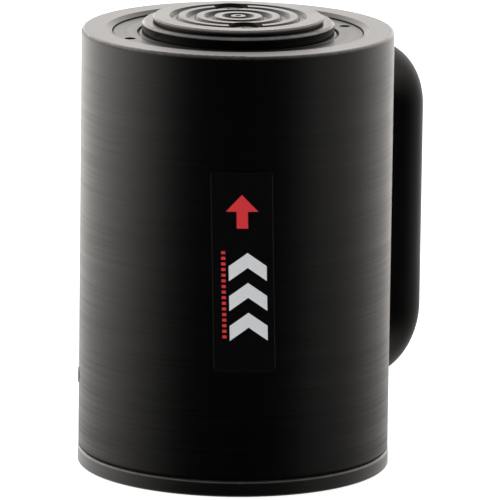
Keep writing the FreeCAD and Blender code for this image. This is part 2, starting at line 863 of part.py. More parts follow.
# Saddle screws
saddle_screw = socket_screw(
    "saddle_screw_blank", s.saddle_screw_radius, s.saddle_head_radius, s.saddle_head_tall,
    s.saddle_socket, head_seat - saddle_floor + s.saddle_thread)
nodes.append(copies("saddle_screws", saddle_screw, round_places(pocket_at, head_seat, 2)))

# Return spring: it pushes the plunger's seat down from the retainer on the fixed rod
spigot_tip = spigot_radius - s.spigot_taper
nodes.append(turned("spring_seat", [
    (seat_hole_radius, seat_low),
    (seat_radius, seat_low),
    (seat_radius, seat_top - s.seat_gap),
    (cavity_radius, seat_top - s.seat_gap),
    (cavity_radius - s.spigot_taper, seat_top),
    (spigot_radius, seat_top),
    (spigot_tip, seat_top + s.spigot_tall),
    (seat_hole_radius, seat_top + s.spigot_tall),
]))
nodes.append(turned("spring_rod", [
    (0, s.floor_top - s.rod_anchor + s.seat_gap),
    (s.rod_radius, s.floor_top - s.rod_anchor + s.seat_gap),
    (s.rod_radius, retainer_low),
    (s.rod_end_radius, retainer_low),
    (s.rod_end_radius, rod_top - s.rod_end_edge),
    (s.rod_end_radius - s.rod_end_edge, rod_top),
    (0, rod_top),
]))
retainer_high = retainer_low + s.retainer_thick
nodes.append(turned("spring_retainer", [
    (s.rod_end_radius + s.thread_gap, retainer_low),
    (s.rod_radius + s.screw_gap, retainer_low),
    (s.rod_radius + s.screw_gap, retainer_low - s.spigot_tall),
    (spigot_tip, retainer_low - s.spigot_tall),
    (spigot_radius, retainer_low),
    (retainer_radius, retainer_low),
    (retainer_radius, retainer_high),
    (s.rod_end_radius + s.thread_gap, retainer_high),
]))
nodes.append(coil(
    "return_spring", spring_radius, s.spring_wire, s.spring_turns, seat_top, retainer_low))
rod_nut = new_body("rod_nut")
nut_sketch = new_sketch(rod_nut, "rod_nut_profile", "XY_Plane")
bind(nut_sketch, ".AttachmentOffset.Base.z", retainer_high)
draw_hexagon(nut_sketch, s.rod_nut_flats)
draw_circle(nut_sketch, (0, 0), s.rod_end_radius + s.thread_gap)
nut_pad = rod_nut.newObject("PartDesign::Pad", "rod_nut_pad")
nut_pad.Profile = nut_sketch
bind(nut_pad, "Length", s.rod_nut_tall)
doc.recompute()
nodes.append(rod_nut)

# Base screws: countersunk, from below
sink_tall = s.base_screw_head - s.base_screw_radius
base_screw = turned("base_screw_blank", [
    (0, 0),
    (s.base_screw_head, 0),
    (s.base_screw_radius, sink_tall),
    (s.base_screw_radius, s.base_screw_long),
    (0, s.base_screw_long),
])
cut_up(
    base_screw, "base_screw_socket", lambda k: draw_hexagon(k, s.base_screw_socket),
    0, sink_tall * SUNK_SOCKET_DEPTH)
nodes.append(copies("base_screws", base_screw, round_places(screw_at, s.base_screw_sunk, 4)))

# Handle: one moulded oval bar, bent twice, its feet shaped to the body's round side
handle = new_body("handle")
handle_start = body_radius - s.handle_thick / 2
bend_at = handle_reach - s.handle_bend
route = new_sketch(handle, "handle_route", "XZ_Plane")
route_points = [
    (handle_start, s.handle_low),
    (bend_at, s.handle_low),
    (handle_reach, s.handle_low + s.handle_bend),
    (handle_reach, handle_high - s.handle_bend),
    (bend_at, handle_high),
    (handle_start, handle_high),
]
draw_bent_route(route, route_points, s.handle_bend)
section = new_sketch(handle, "handle_section", "YZ_Plane")
bind(section, ".AttachmentOffset.Base.z", handle_start)
draw_oval(section, s.handle_low, s.handle_wide, s.handle_thick)
doc.recompute()
bar = handle.newObject("PartDesign::AdditivePipe", "handle_bar")
bar.Profile = section
bar.Spine = (route, [f"Edge{number}" for number in range(1, len(route_points))])
doc.recompute()
cut_down(
    handle, "handle_feet", lambda k: draw_circle(k, (0, 0), body_radius + s.seat_gap),
    handle_high + s.handle_thick, handle_high - s.handle_low + s.handle_thick * 2)
screw_way_deep = s.handle_out + s.handle_thick + s.handle_thick / 2
for name, height in (("low", s.handle_low), ("high", handle_high)):
    drill_inward(
        handle, f"screw_cup_{name}", 0, height, handle_reach + s.handle_thick,
        s.handle_head_radius + s.handle_cup_gap, handle_reach + s.handle_thick - handle_cup_at)
    drill_inward(
        handle, f"screw_way_{name}", 0, height, handle_reach + s.handle_thick,
        s.handle_screw_radius + s.screw_gap, screw_way_deep)
nodes.append(handle)

handle_screw = socket_screw(
    "handle_screw_blank", s.handle_screw_radius, s.handle_head_radius, s.handle_head_tall,
    s.handle_socket, s.handle_cup_out + s.handle_hole_deep - s.handle_screw_spare)
handle_screw_places = []
for height in (s.handle_low, handle_high):
    place = along(0, height)
    place.Base.x = handle_cup_at.number
    handle_screw_places.append(place)
nodes.append(copies("handle_screws", handle_screw, handle_screw_places))

# Coupler half: screwed into the port; its own height is the distance from the body's axis
coupler_neck_radius = s.coupler_nose_radius - s.coupler_neck_step
socket_radius = s.coupler_nose_radius - s.socket_wall
thread_low = body_radius - port_deep + s.groove_gap
hex_low = body_radius - s.port_flat_deep + s.seat_gap
hex_top = hex_low + s.coupler_hex_tall
nose_low = hex_top + s.coupler_neck_tall
nose_top = nose_low + s.coupler_nose_tall
socket_floor = nose_top - s.socket_deep
valve_top = socket_floor - s.valve_seat_thick
poppet_low = valve_top - s.poppet_tall
valve_room = s.poppet_travel + s.valve_spring_turns * s.valve_spring_wire + s.valve_spare
valve_low = poppet_low - valve_room
outward = along(s.port_azimuth, port_height)
coupler_body = turned("coupler_body", [
    (s.coupler_way_radius, thread_low),
    (s.port_radius - s.thread_gap, thread_low),
    (s.port_radius - s.thread_gap, hex_low),
    (s.coupler_flats / 2 - s.coupler_edge, hex_low),
    (s.coupler_flats / 2 - s.coupler_edge, hex_top),
    (coupler_neck_radius, hex_top),
    (coupler_neck_radius, nose_low),
    (s.coupler_nose_radius, nose_low),
    (s.coupler_nose_radius, nose_top - s.coupler_edge),
    (s.coupler_nose_radius - s.coupler_edge, nose_top),
    (socket_radius + s.coupler_edge, nose_top),
    (socket_radius, nose_top - s.coupler_edge),
    (socket_radius, socket_floor),
    (s.poppet_tip_radius + s.head_gap, socket_floor),
    (s.poppet_tip_radius + s.head_gap, valve_top),
    (s.poppet_radius + s.head_gap, valve_top),
    (s.poppet_radius + s.head_gap, valve_low),
    (s.coupler_way_radius, valve_low),
])
hex_sketch = new_sketch(coupler_body, "coupler_hex_sketch", "XY_Plane")
bind(hex_sketch, ".AttachmentOffset.Base.z", hex_low)
draw_hexagon(hex_sketch, s.coupler_flats)
draw_circle(hex_sketch, (0, 0), coupler_neck_radius)
hex_pad = coupler_body.newObject("PartDesign::Pad", "coupler_hex")
hex_pad.Profile = hex_sketch
bind(hex_pad, "Length", s.coupler_hex_tall)
doc.recompute()
coupler_body.Placement = outward
nodes.append(coupler_body)

poppet = turned("coupler_poppet", [
    (0, poppet_low),
    (s.poppet_radius, poppet_low),
    (s.poppet_radius, valve_top - s.seat_gap),
    (s.poppet_tip_radius, valve_top - s.seat_gap),
    (s.poppet_tip_radius, socket_floor + s.poppet_tip_tall / 2),
    (s.poppet_tip_radius / 2, socket_floor + s.poppet_tip_tall),
    (0, socket_floor + s.poppet_tip_tall),
])
poppet.Placement = outward
nodes.append(poppet)
nodes.append(coil(
    "poppet_spring", s.valve_spring_radius, s.valve_spring_wire, s.valve_spring_turns,
    valve_low, poppet_low, outward))

# Dust cap: a plastic cup over the coupler's nose
cap_radius = s.coupler_nose_radius + s.cap_wall
cap_inside = nose_top + s.head_gap
cap_high = cap_inside + s.cap_end
cap_low = cap_high - s.cap_tall
dust_cap = turned("dust_cap", [
    (s.coupler_nose_radius + s.running_gap, cap_low),
    (cap_radius, cap_low),
    (cap_radius, cap_high - s.cap_edge),
    (cap_radius - s.cap_edge, cap_high),
    (0, cap_high),
    (0, cap_inside),
    (s.coupler_nose_radius + s.running_gap, cap_inside),
])
dust_cap.Placement = outward
nodes.append(dust_cap)

# Bleed screw: a socket set screw in the body's side
bleed_end = body_radius + s.bleed_screw_proud
bleed_start = bleed_end - s.bleed_screw_long
bleed_screw = turned("bleed_screw", [
    (0, bleed_start),
    (s.bleed_screw_radius - s.bleed_screw_edge, bleed_start),
    (s.bleed_screw_radius, bleed_start + s.bleed_screw_edge),
    (s.bleed_screw_radius, bleed_end - s.bleed_screw_edge),
    (s.bleed_screw_radius - s.bleed_screw_edge, bleed_end),
    (0, bleed_end),
])
cut_down(
    bleed_screw, "bleed_socket", lambda k: draw_hexagon(k, s.bleed_socket),
    bleed_end, s.bleed_socket_deep)
bleed_screw.Placement = along(s.bleed_azimuth, bleed_height)
nodes.append(bleed_screw)

doc.recompute()
for thing in doc.Objects:
    if "Invalid" in thing.State or "Error" in thing.State:
        raise RuntimeError(f"{thing.Name} failed")
for node in nodes:
    if node.Shape.isNull() or not node.Shape.isValid():
        raise RuntimeError(f"{node.Label} has no valid shape")
    node.Shape.exportStep(f"parts/{node.Label}.step")
    box = node.Shape.BoundBox
    print(f"{node.Label}: {len(node.Shape.Solids)} solids, {node.Shape.Volume:.0f} mm3, "
          f"z {box.ZMin:.1f} to {box.ZMax:.1f}")
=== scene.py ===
# %% [markdown]
# # A hydraulic lifting cylinder
#
# This lesson dresses a black aluminium cylinder with a steel base, a grooved saddle and a
# carrying handle. The rigid parts arrive as finished meshes, in metres, with +Z up the plunger
# and +X towards the handle. We add what a drawing leaves to the workshop: turned and anodised
# surfaces, wound springs, a threaded coupler, a knurled cap, screws and a label. Every step
# first says what the real piece is and why it is made the way it is.

import math

import bmesh
import bpy
from mathutils import Matrix, Vector


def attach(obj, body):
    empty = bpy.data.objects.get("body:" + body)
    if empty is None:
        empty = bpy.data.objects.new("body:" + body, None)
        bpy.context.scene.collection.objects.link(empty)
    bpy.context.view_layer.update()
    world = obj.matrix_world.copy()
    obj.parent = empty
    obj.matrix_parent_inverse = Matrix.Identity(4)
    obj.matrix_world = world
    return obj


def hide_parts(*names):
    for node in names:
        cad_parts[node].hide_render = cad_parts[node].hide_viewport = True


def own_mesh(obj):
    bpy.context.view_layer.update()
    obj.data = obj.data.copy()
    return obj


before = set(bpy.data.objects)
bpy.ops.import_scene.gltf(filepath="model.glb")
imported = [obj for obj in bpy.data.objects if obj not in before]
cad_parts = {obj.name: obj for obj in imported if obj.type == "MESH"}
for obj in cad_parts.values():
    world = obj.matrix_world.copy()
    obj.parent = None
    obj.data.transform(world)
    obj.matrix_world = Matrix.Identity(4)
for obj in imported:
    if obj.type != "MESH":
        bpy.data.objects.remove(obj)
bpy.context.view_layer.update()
MM = 0.001
print("parts in the frame:", len(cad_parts))

# %% [markdown]
# ## The camera
#
# The photograph was taken with a long lens from a little above, so the two ends of the
# cylinder are almost equally wide. Rather than guess, the lens, the distance and a small roll
# were worked out from the outlines of the rim, the base and the handle. The camera looks at a
# point a few millimetres beside the middle, which sets the framing without any lens shift.

# %% Camera
CAMERA_AZIMUTH = math.radians(-47.5)
CAMERA_ELEVATION = math.radians(12.1054)
CAMERA_ROLL = math.radians(0.7545)
CAMERA_DISTANCE = 2.916
LENS = 502.4
SENSOR_WIDTH = 36
MIDDLE_HEIGHT = 92.14 * MM
AIM_RIGHT = 6.11 * MM
AIM_UP = -1.98 * MM


def towards_camera():
    """The unit vector from the object to the camera."""
    level = math.cos(CAMERA_ELEVATION)
    across = math.sin(CAMERA_AZIMUTH) * level
    return Vector((across, -math.cos(CAMERA_AZIMUTH) * level, math.sin(CAMERA_ELEVATION)))


back = towards_camera()
lens = bpy.data.cameras.new("camera")
lens.lens = LENS
lens.sensor_width = SENSOR_WIDTH
lens.clip_start, lens.clip_end = 0.05, 100
camera = bpy.data.objects.new("camera", lens)
bpy.context.scene.collection.objects.link(camera)
level = (-back).to_track_quat("-Z", "Y").to_matrix()
turned_camera = level @ Matrix.Rotation(CAMERA_ROLL, 3, "Z")
aim = Vector((0, 0, MIDDLE_HEIGHT))
aim += turned_camera.col[0] * AIM_RIGHT
aim += turned_camera.col[1] * AIM_UP
camera.matrix_world = Matrix.Translation(aim + back * CAMERA_DISTANCE) @ turned_camera.to_4x4()
bpy.context.scene.camera = camera
print("camera at", [round(c, 3) for c in camera.location])

# %% [markdown]
# ## Node trees written as sums
#
# Shaders are arithmetic on the surface, so it helps to write them as arithmetic. `Value` wraps
# one output socket and overloads the operators: `1 - mask * 0.5` then adds the Math nodes by
# itself. `Graph.node` makes any other node from its type, its settings and its inputs, and
# serves materials, the world and Geometry Nodes alike.


# %% Values and graphs
class Value:
    """One output socket that can be used in sums."""

    def __init__(self, graph, socket):
        self.graph = graph
        self.socket = socket

    def math(self, operation, *others, flipped=False):
        terms = [self, *others]
        if flipped:
            terms.reverse()
        return self.graph.node("ShaderNodeMath", {"operation": operation}, dict(enumerate(terms)))

    def __add__(self, other):
        return self.math("ADD", other)

    __radd__ = __add__

    def __sub__(self, other):
        return self.math("SUBTRACT", other)

    def __rsub__(self, other):
        return self.math("SUBTRACT", other, flipped=True)

    def __mul__(self, other):
        return self.math("MULTIPLY", other)

    __rmul__ = __mul__

    def __truediv__(self, other):
        return self.math("DIVIDE", other)

    def __abs__(self):
        return self.math("ABSOLUTE")

    def root(self):
        return self.math("SQRT")

    def largest(self, other):
        return self.math("MAXIMUM", other)

    def smallest(self, other):
        return self.math("MINIMUM", other)

    def rise(self, low, high):
        """0 below low, 1 above high, and a soft step between them."""
        settings = {"interpolation_type": "SMOOTHSTEP"}
        inputs = {"Value": self, "From Min": low, "From Max": high}
        return self.graph.node("ShaderNodeMapRange", settings, inputs)

    def fall(self, low, high):
        return 1 - self.rise(low, high)


class Graph:
    """A node tree whose nodes come from one method."""

    def __init__(self, tree):
        self.tree = tree

    def node(self, kind, settings=None, inputs=None, output=0):
        made = self.tree.nodes.new(kind)
        for name, value in (settings or {}).items():
            if name == "stops":
                self.set_stops(made.color_ramp, value)
            else:
                setattr(made, name, value)
        for key, value in (inputs or {}).items():
            self.feed(made.inputs[key], value)
        return Value(self, made.outputs[output]) if made.outputs else None

    def feed(self, socket, value):
        if isinstance(value, Value):
            self.tree.links.new(value.socket, socket)
        else:
            socket.default_value = value

    def set_stops(self, ramp, stops):
        while len(ramp.elements) < len(stops):
            ramp.elements.new(1.0)
        for element, (place, level) in zip(ramp.elements, stops):
            element.position = place
            element.color = (level, level, level, 1)

    def vector(self, x, y, z):
        return self.node("ShaderNodeCombineXYZ", {}, {0: x, 1: y, 2: z})

    def dot(self, vector, other):
        settings = {"operation": "DOT_PRODUCT"}
        return self.node("ShaderNodeVectorMath", settings, {0: vector, 1: other}, "Value")


print("graphs ready")

# %% [markdown]
# ## The light tent
#
# Black anodised aluminium has hardly any colour of its own: what we see is the room in it. The
# photograph shows bright flanks and a nearly black front, so the room was white all round and
# dark behind the camera. A world whose brightness depends only on direction gives exactly
# that. It falls off towards the camera's side, is a little dimmer on the right, and is dimmer
# overhead, which keeps the chamfers darker than the flat tops. The floor stays white, because
# its own glow fills its soft shadow, and it is left out of reflections so that the dark front
# is not washed out.

# %% World
FRONT_TO_BACK = (
    (0.00, 0.0), (0.14, 0.001), (0.20, 0.004), (0.27, 0.055), (0.34, 0.20),
    (0.42, 0.37), (0.51, 0.62), (0.62, 0.82), (0.80, 0.99), (1.00, 1.00),
)
WORLD_LIGHT = 1.92
RIGHT_DIMMING = 0.43
SIDE_DIMMING = 0.2
OVERHEAD_DIMMING = 0.5
UNDERSIDE_DIMMING = 0.6
FAR_RIGHT = (0.84, 1.0)
OVERHEAD = (0.58, 0.95)
UNDERSIDE = (0.30, 0.80)
WARM_LIGHT = (1.0, 0.962, 0.928, 1)
BACKDROP = (1.0, 1.0, 1.0, 1)

front = Vector((back.x, back.y, 0)).normalized()
right = Vector((-front.y, front.x, 0))
world = bpy.data.worlds.new("light_tent")
world.use_nodes = True
bpy.context.scene.world = world
world.node_tree.nodes.clear()
tent = Graph(world.node_tree)
direction = tent.node("ShaderNodeTexCoord", output="Generated")
turn = tent.dot(direction, front).math("ARCCOSINE") / math.pi
tone = tent.node("ShaderNodeValToRGB", {"stops": FRONT_TO_BACK}, {0: turn})
rightward = tent.dot(direction, right).largest(0)
dimming = 1 - rightward * RIGHT_DIMMING - rightward.rise(*FAR_RIGHT) * SIDE_DIMMING
overhead = 1 - tent.dot(direction, (0, 0, 1)).rise(*OVERHEAD) * OVERHEAD_DIMMING
below = 1 - tent.dot(direction, (0, 0, -1)).rise(*UNDERSIDE) * UNDERSIDE_DIMMING
light = tone * dimming * overhead * below * WORLD_LIGHT
room = tent.node("ShaderNodeBackground", {}, {"Color": WARM_LIGHT, "Strength": light})
backdrop = tent.node("ShaderNodeBackground", {}, {"Color": BACKDROP})
seen = tent.node("ShaderNodeLightPath", output="Is Camera Ray")
mixed = tent.node("ShaderNodeMixShader", {}, {0: seen, 1: room, 2: backdrop})
tent.node("ShaderNodeOutputWorld", {}, {"Surface": mixed})
view = bpy.context.scene.view_settings
view.view_transform = "Standard"
view.look = "None"
print("world with", len(FRONT_TO_BACK), "tones from front to back")

# %% [markdown]
# ## Finishes
#
# A `Finish` is a graph with a Principled surface at its end. Its constants go straight on the
# shader's own sockets, and only what varies over the piece is linked: colour, roughness, the
# normal, and on black metal also the weight of its clear film and the bare metal at bright
# edges, which are partly wear and partly a painted highlight. All patterns read Object
# coordinates, in metres, so a scratch is as long on a screw as it is on the body.


# %% The finish graph
class Finish(Graph):
    """A material with one Principled surface."""

    def __init__(self, name, constants):
        self.material = bpy.data.materials.new(name)
        self.material.use_nodes = True
        super().__init__(self.material.node_tree)
        self.surface = self.tree.nodes["Principled BSDF"]
        for socket, value in constants.items():
            self.surface.inputs[socket].default_value = value

    def show(self, **values):
        """Links values to the surface's sockets, such as base_color or coat_weight."""
        for name, value in values.items():
            self.feed(self.surface.inputs[name.replace("_", " ").title()], value)
        return self.material

    def place(self, frame_of=None):
        """Object coordinates, or the same seen from a piece that lies in another frame."""
        where = self.node("ShaderNodeTexCoord", output="Object")
        if frame_of is None:
            return where
        undone = frame_of.inverted()
        inputs = {"Vector": where, "Location": undone.translation, "Rotation": undone.to_euler()}
        return self.node("ShaderNodeMapping", {}, inputs)

    def parts_of(self, vector):
        apart = self.node("ShaderNodeSeparateXYZ", {}, {0: vector}).socket.node
        return [Value(self, socket) for socket in apart.outputs]

    def noise(self, vector, scale, detail, rough=0.5):
        inputs = {"Vector": vector, "Scale": scale, "Detail": detail, "Roughness": rough}
        return self.node("ShaderNodeTexNoise", {}, inputs)

    def mix(self, factor, first, second):
        inputs = {0: factor, 6: first, 7: second}
        return self.node("ShaderNodeMix", {"data_type": "RGBA"}, inputs, 2)

    def bump(self, height, distance):
        return self.node("ShaderNodeBump", {}, {"Height": height, "Distance": distance})


def paint(red, green, blue):
    return (red, green, blue, 1)


print("finish graph ready")

# %% [markdown]
# ## Turned metal
#
# The body, the rings, the plunger and the saddle all came off a lathe, which leaves fine lines
# round the axis: level lines on a side, circles on a face. The sum of the radius and the
# height changes across the lines on both, so one noise stretched along that sum draws them
# everywhere, without a seam. A second, coarser noise makes the broad bands that the tool's
# feed leaves. Black metal shows them only in the clear film that seals it, so the weight of
# that film carries the lines and the bands. On the body the film grows with height, a painted
# light that makes the top shine more than the foot, and it is dulled in the seam above the
# base, a painted shade of the gap there. A ring of brighter metal follows each edge that hands
# and loads touch, broken up by a noise. It is partly wear, as edges are where anodising wears
# first, and partly a painted highlight of the light that the edges catch.

# %% Turned finish
LINE_RUN = 14.0
BAND_SHARE = 0.13
WEAR_GRAIN = 260.0
FILM_WEIGHT, TOP_LIGHT_MIDDLE = 0.74, 0.52
FILM_LINES, FILM_BANDS = 0.42, 0.165
# How far above the base seam the film is dulled, a painted shade of the gap, and by how much.
SEAM_LOW, SEAM_HIGH, SEAM_LOSS = 0.5 * MM, 1.7 * MM, 0.8


def turned_finish(
        name, colour, roughness, pitch, depth, edges=(), bright=None, axis=None, metal=False,
        matt=None, chipped=1.0, painted_top_light=0.0, polish=0.6, seam=None):
    """Lathe-turned metal with lines of one pitch and bright (radius, height, width) edges.

    The bright edge ring is partly wear and partly a painted highlight, and chipped says how
    broken it is. Metal that isn't bare has a clear film, which grows by the given amount up to
    the body's top, a painted light on the upper part, and is dulled close above the height seam,
    a painted shade of the gap there. Its bright edges turn metallic by polish, a little rougher
    from the height matt on.
    """
    film = {"Specular IOR Level": 0.0, "Coat IOR": 1.6, "Coat Roughness": roughness}
    finish = Finish(name, {"Metallic": 1.0} if metal else film)
    where = finish.place(axis)
    x, y, z = finish.parts_of(where)
    radius = (x * x + y * y).root()
    across = (radius + z) / pitch
    line = finish.noise(finish.vector(x * LINE_RUN, y * LINE_RUN, across), 1.0, 3.0, 0.65)
    band = finish.noise(
        finish.vector(x * LINE_RUN / 3, y * LINE_RUN / 3, across * BAND_SHARE), 1.0, 1.0)
    cloud = finish.noise(where, 35.0, 3.0)
    grain = finish.noise(where, WEAR_GRAIN, 3.0, 0.7)
    # Each listed edge gets a ring of the bright colour: partly wear, partly a painted highlight.
    edge_wear_and_highlight = None
    for edge_radius, edge_height, width in edges:
        off_side, off_top = radius - edge_radius, z - edge_height
        gap = (off_side * off_side + off_top * off_top).root()
        ring = gap.fall(width * 0.3, width)
        edge_wear_and_highlight = ring if edge_wear_and_highlight is None else edge_wear_and_highlight.largest(ring)
    dull = finish.mix(line.rise(0.3, 0.75), paint(*colour), paint(*(c * 1.4 for c in colour)))
    if edge_wear_and_highlight is not None:
        left = 1 - grain.fall(0.42, 0.68) * chipped
        dull = finish.mix(edge_wear_and_highlight * left, dull, paint(*bright))
    rough = roughness + (line - 0.5) * 0.10 + (band - 0.5) * 0.05 + (cloud - 0.5) * 0.06
    if matt is not None:
        rough = rough + z.rise(matt - 0.12 * MM, matt - 0.04 * MM) * 0.03
    normal = finish.bump(line + band * 0.3, depth)
    if not metal:
        # The film grows with height up to the body's top: a painted light that makes the upper
        # part shine more.
        coat = FILM_WEIGHT + (z / BODY_TOP - TOP_LIGHT_MIDDLE) * painted_top_light
        coat = coat + (line - 0.5) * FILM_LINES + (band - 0.5) * FILM_BANDS
        # Close above the seam the film is dulled: a painted shade of the gap between body and
        # base.
        if seam is not None:
            coat = coat * (1 - z.fall(seam + SEAM_LOW, seam + SEAM_HIGH) * SEAM_LOSS)
        finish.show(coat_weight=coat.largest(0).smallest(1))
        if edge_wear_and_highlight is not None:
            finish.show(metallic=edge_wear_and_highlight * polish)
    return finish.show(base_color=dull, roughness=rough, normal=normal)


BODY_RADIUS, BODY_TOP = 65.0 * MM, 184.3 * MM
BASE_RADIUS, BASE_TOP = 65.2 * MM, 6.8 * MM
PLUNGER_RADIUS, PLUNGER_TOP = 40.0 * MM, 187.4 * MM
SADDLE_RADIUS, SADDLE_TOP = 35.5 * MM, 189.6 * MM
BLACK = (0.0014, 0.0013, 0.0013)
# Colour of the body's bright top rim: partly wear and partly a painted highlight of the rim's
# chamfer.
BODY_EDGE_WEAR_AND_HIGHLIGHT = (0.090, 0.082, 0.075)

# The body's film grows towards the top, a painted light, and is dulled just above the base, a
# painted shade of the seam.
anodised_body = turned_finish(
    "anodised_body", BLACK, 0.29, 0.9 * MM, 0.004 * MM,
    edges=[(BODY_RADIUS - 0.6 * MM, BODY_TOP - 0.6 * MM, 1.1 * MM)], bright=BODY_EDGE_WEAR_AND_HIGHLIGHT,
    chipped=0.5, painted_top_light=0.6, seam=BASE_TOP)
# The ring's film also grows a little towards the top, a painted light.
anodised_ring = turned_finish(
    "anodised_ring", BLACK, 0.31, 0.6 * MM, 0.004 * MM, painted_top_light=0.25)
# The plunger's top edge is painted light grey: partly wear and partly a painted highlight of its
# chamfer. Its film also grows a little towards the top, a painted light.
anodised_plunger = turned_finish(
    "anodised_plunger", BLACK, 0.24, 0.35 * MM, 0.002 * MM,
    edges=[(PLUNGER_RADIUS - 0.5 * MM, PLUNGER_TOP - 0.5 * MM, 1.1 * MM)],
    bright=(0.30, 0.293, 0.293), matt=PLUNGER_TOP, chipped=0.3, polish=0.2, painted_top_light=0.25)
print("anodised finishes:", anodised_body.name, anodised_ring.name, anodised_plunger.name)

# %% [markdown]
# ## The saddle
#
# The saddle carries the load, so it is hard steel with rows of ridges that bite. Where its
# surface looks straight up near the top, the ridges are painted lighter, broken by a noise:
# partly rubbing and partly painted light on the up-facing tops, while their flanks and grooves
# stay dark. Its rim is painted bright, a painted highlight. The saddle's finish is a little
# warmer and rougher than the anodised plunger round it.

# %% Saddle finish
GROOVE_DARK = (0.036, 0.033, 0.0315)
RIDGE_RUBBED_AND_LIT = (0.060, 0.055, 0.051)
RIM_PAINTED_HIGHLIGHT = (0.42, 0.355, 0.34)


def saddle_finish():
    """Dark steel with up-facing ridge tops painted lighter, partly rubbing and partly painted
    light, and a rim with a painted highlight.
    """
    finish = Finish("anodised_saddle", {"Metallic": 0.0})
    where = finish.place()
    x, y, z = finish.parts_of(where)
    radius = (x * x + y * y).root()
    grain = finish.noise(where, 900.0, 3.0, 0.7)
    cloud = finish.noise(where, 45.0, 3.0)
    normal = finish.node("ShaderNodeNewGeometry", output="Normal")
    # Up-facing ridge tops are painted lighter, broken by noise: partly rubbing and partly painted
    # light.
    upward = finish.dot(normal, (0, 0, 1)).rise(0.80, 0.97)
    high = z.rise(SADDLE_TOP - 1.3 * MM, SADDLE_TOP - 0.6 * MM)
    rim = radius.rise(SADDLE_RADIUS - 0.8 * MM, SADDLE_RADIUS - 0.3 * MM)
    rim = rim * z.rise(SADDLE_TOP - 1.35 * MM, SADDLE_TOP - 0.35 * MM)
    rubbed_and_lit = (upward * high).largest(rim * 0.6) * (grain * 0.4 + cloud * 0.6).rise(0.30, 0.66)
    colour = finish.mix(rubbed_and_lit, paint(*GROOVE_DARK), paint(*RIDGE_RUBBED_AND_LIT))
    # The rim is painted bright: a painted highlight of its chamfer.
    colour = finish.mix(rim * 0.8, colour, paint(*RIM_PAINTED_HIGHLIGHT))
    rough = 0.30 + (grain - 0.5) * 0.2 - rubbed_and_lit * 0.06
    return finish.show(base_color=colour, roughness=rough, normal=finish.bump(grain, 0.012 * MM))


anodised_saddle = saddle_finish()
print("saddle finish:", anodised_saddle.name)

# %% [markdown]
# ## Steel that is not anodised
#
# The base plate and the screws are blackened steel, which is slightly brown and mottled where
# the oxide is thin. The screws carry the fine grain of a forged head, and the small bleed
# screw is plated, so it is lighter. The coupler is zinc plated, with turned lines round its
# own axis, so its pattern is turned by a Mapping node to lie along the port. Springs are oiled
# wire with drawing marks, and the spring rod and its parts, deep inside the plunger, are plain
# bright turned steel.

# %% Steel finishes
PORT_TURN = math.radians(70)
PORT_HEIGHT = 27.0 * MM
outward = Matrix.Rotation(PORT_TURN, 4, "Z") @ Matrix.Rotation(math.radians(90), 4, "Y")
along_port = Matrix.Translation((0, 0, PORT_HEIGHT)) @ outward


def blackened_finish(name, colour, thin, roughness, grain_size, worn=0.5, metal=0.35):
    """Oxide or plating with clouds where it is thin, and a fine grain."""
    finish = Finish(name, {"Metallic": metal, "Coat Weight": 0.15, "Coat Roughness": 0.3})
    where = finish.place()
    cloud = finish.noise(where, 60.0, 4.0, 0.6)
    grain = finish.noise(where, grain_size, 3.0, 0.7)
    shade = finish.mix(cloud.rise(0.42, 0.74) * worn, paint(*colour), paint(*thin))
    rough = roughness + (grain - 0.5) * 0.22 + (cloud - 0.5) * 0.12
    return finish.show(base_color=shade, roughness=rough, normal=finish.bump(grain, 0.012 * MM))


def wire_finish(name, colour, roughness):
    """Drawn wire: fine pits under a film of oil."""
    constants = {"Metallic": 1.0, "Coat Weight": 0.3, "Coat Roughness": 0.15}
    finish = Finish(name, constants)
    where = finish.place()
    pits = finish.noise(where, 1500.0, 2.0)
    cloud = finish.noise(where, 120.0, 3.0)
    shade = finish.mix(cloud.rise(0.35, 0.7), paint(*colour), paint(*(c * 0.6 for c in colour)))
    rough = roughness + (pits - 0.5) * 0.25
    return finish.show(base_color=shade, roughness=rough, normal=finish.bump(pits, 0.01 * MM))


# The base's top edge is painted bright and turned metallic: partly wear and partly a painted
# highlight of its chamfer.
base_steel = turned_finish(
    "blackened_steel", (0.0028, 0.0028, 0.0027), 0.34, 0.7 * MM, 0.004 * MM,
    edges=[(BASE_RADIUS - 0.5 * MM, BASE_TOP - 0.45 * MM, 1.0 * MM)],
    bright=(0.14, 0.132, 0.125), chipped=0.25, polish=0.8)
screw_steel = blackened_finish(
    "screw_steel", (0.12, 0.117, 0.114), (0.20, 0.19, 0.185), 0.32, 1600.0, 0.7, metal=0.3)
plug_steel = blackened_finish(
    "plug_steel", (0.46, 0.45, 0.435), (0.55, 0.54, 0.52), 0.5, 1500.0, metal=0.45)
spring_steel = wire_finish("spring_steel", (0.2, 0.195, 0.19), 0.32)
inner_steel = turned_finish(
    "inner_steel", (0.33, 0.325, 0.32), 0.3, 0.3 * MM, 0.004 * MM, metal=True)
coupler_steel = turned_finish(
    "coupler_steel", (0.42, 0.41, 0.385), 0.30, 0.25 * MM, 0.0008 * MM, axis=along_port,
    metal=True)
print("steel finishes:", base_steel.name, screw_steel.name, spring_steel.name)

# %% [markdown]
# ## Moulded and soft pieces
#
# The handle is a rod covered in tough black plastic: matt, with the faint pebbled skin that a
# mould leaves, and polished a little on the arch where a hand closes round it. The seals are
# rubber with a satin skin. The bearing rings are a brown fabric plastic whose cloth shows as a
# fine weave. The cap is nylon with slightly rubbed ribs.

# %% Moulded finishes
RUB_FADE = (60 * MM, 90 * MM)


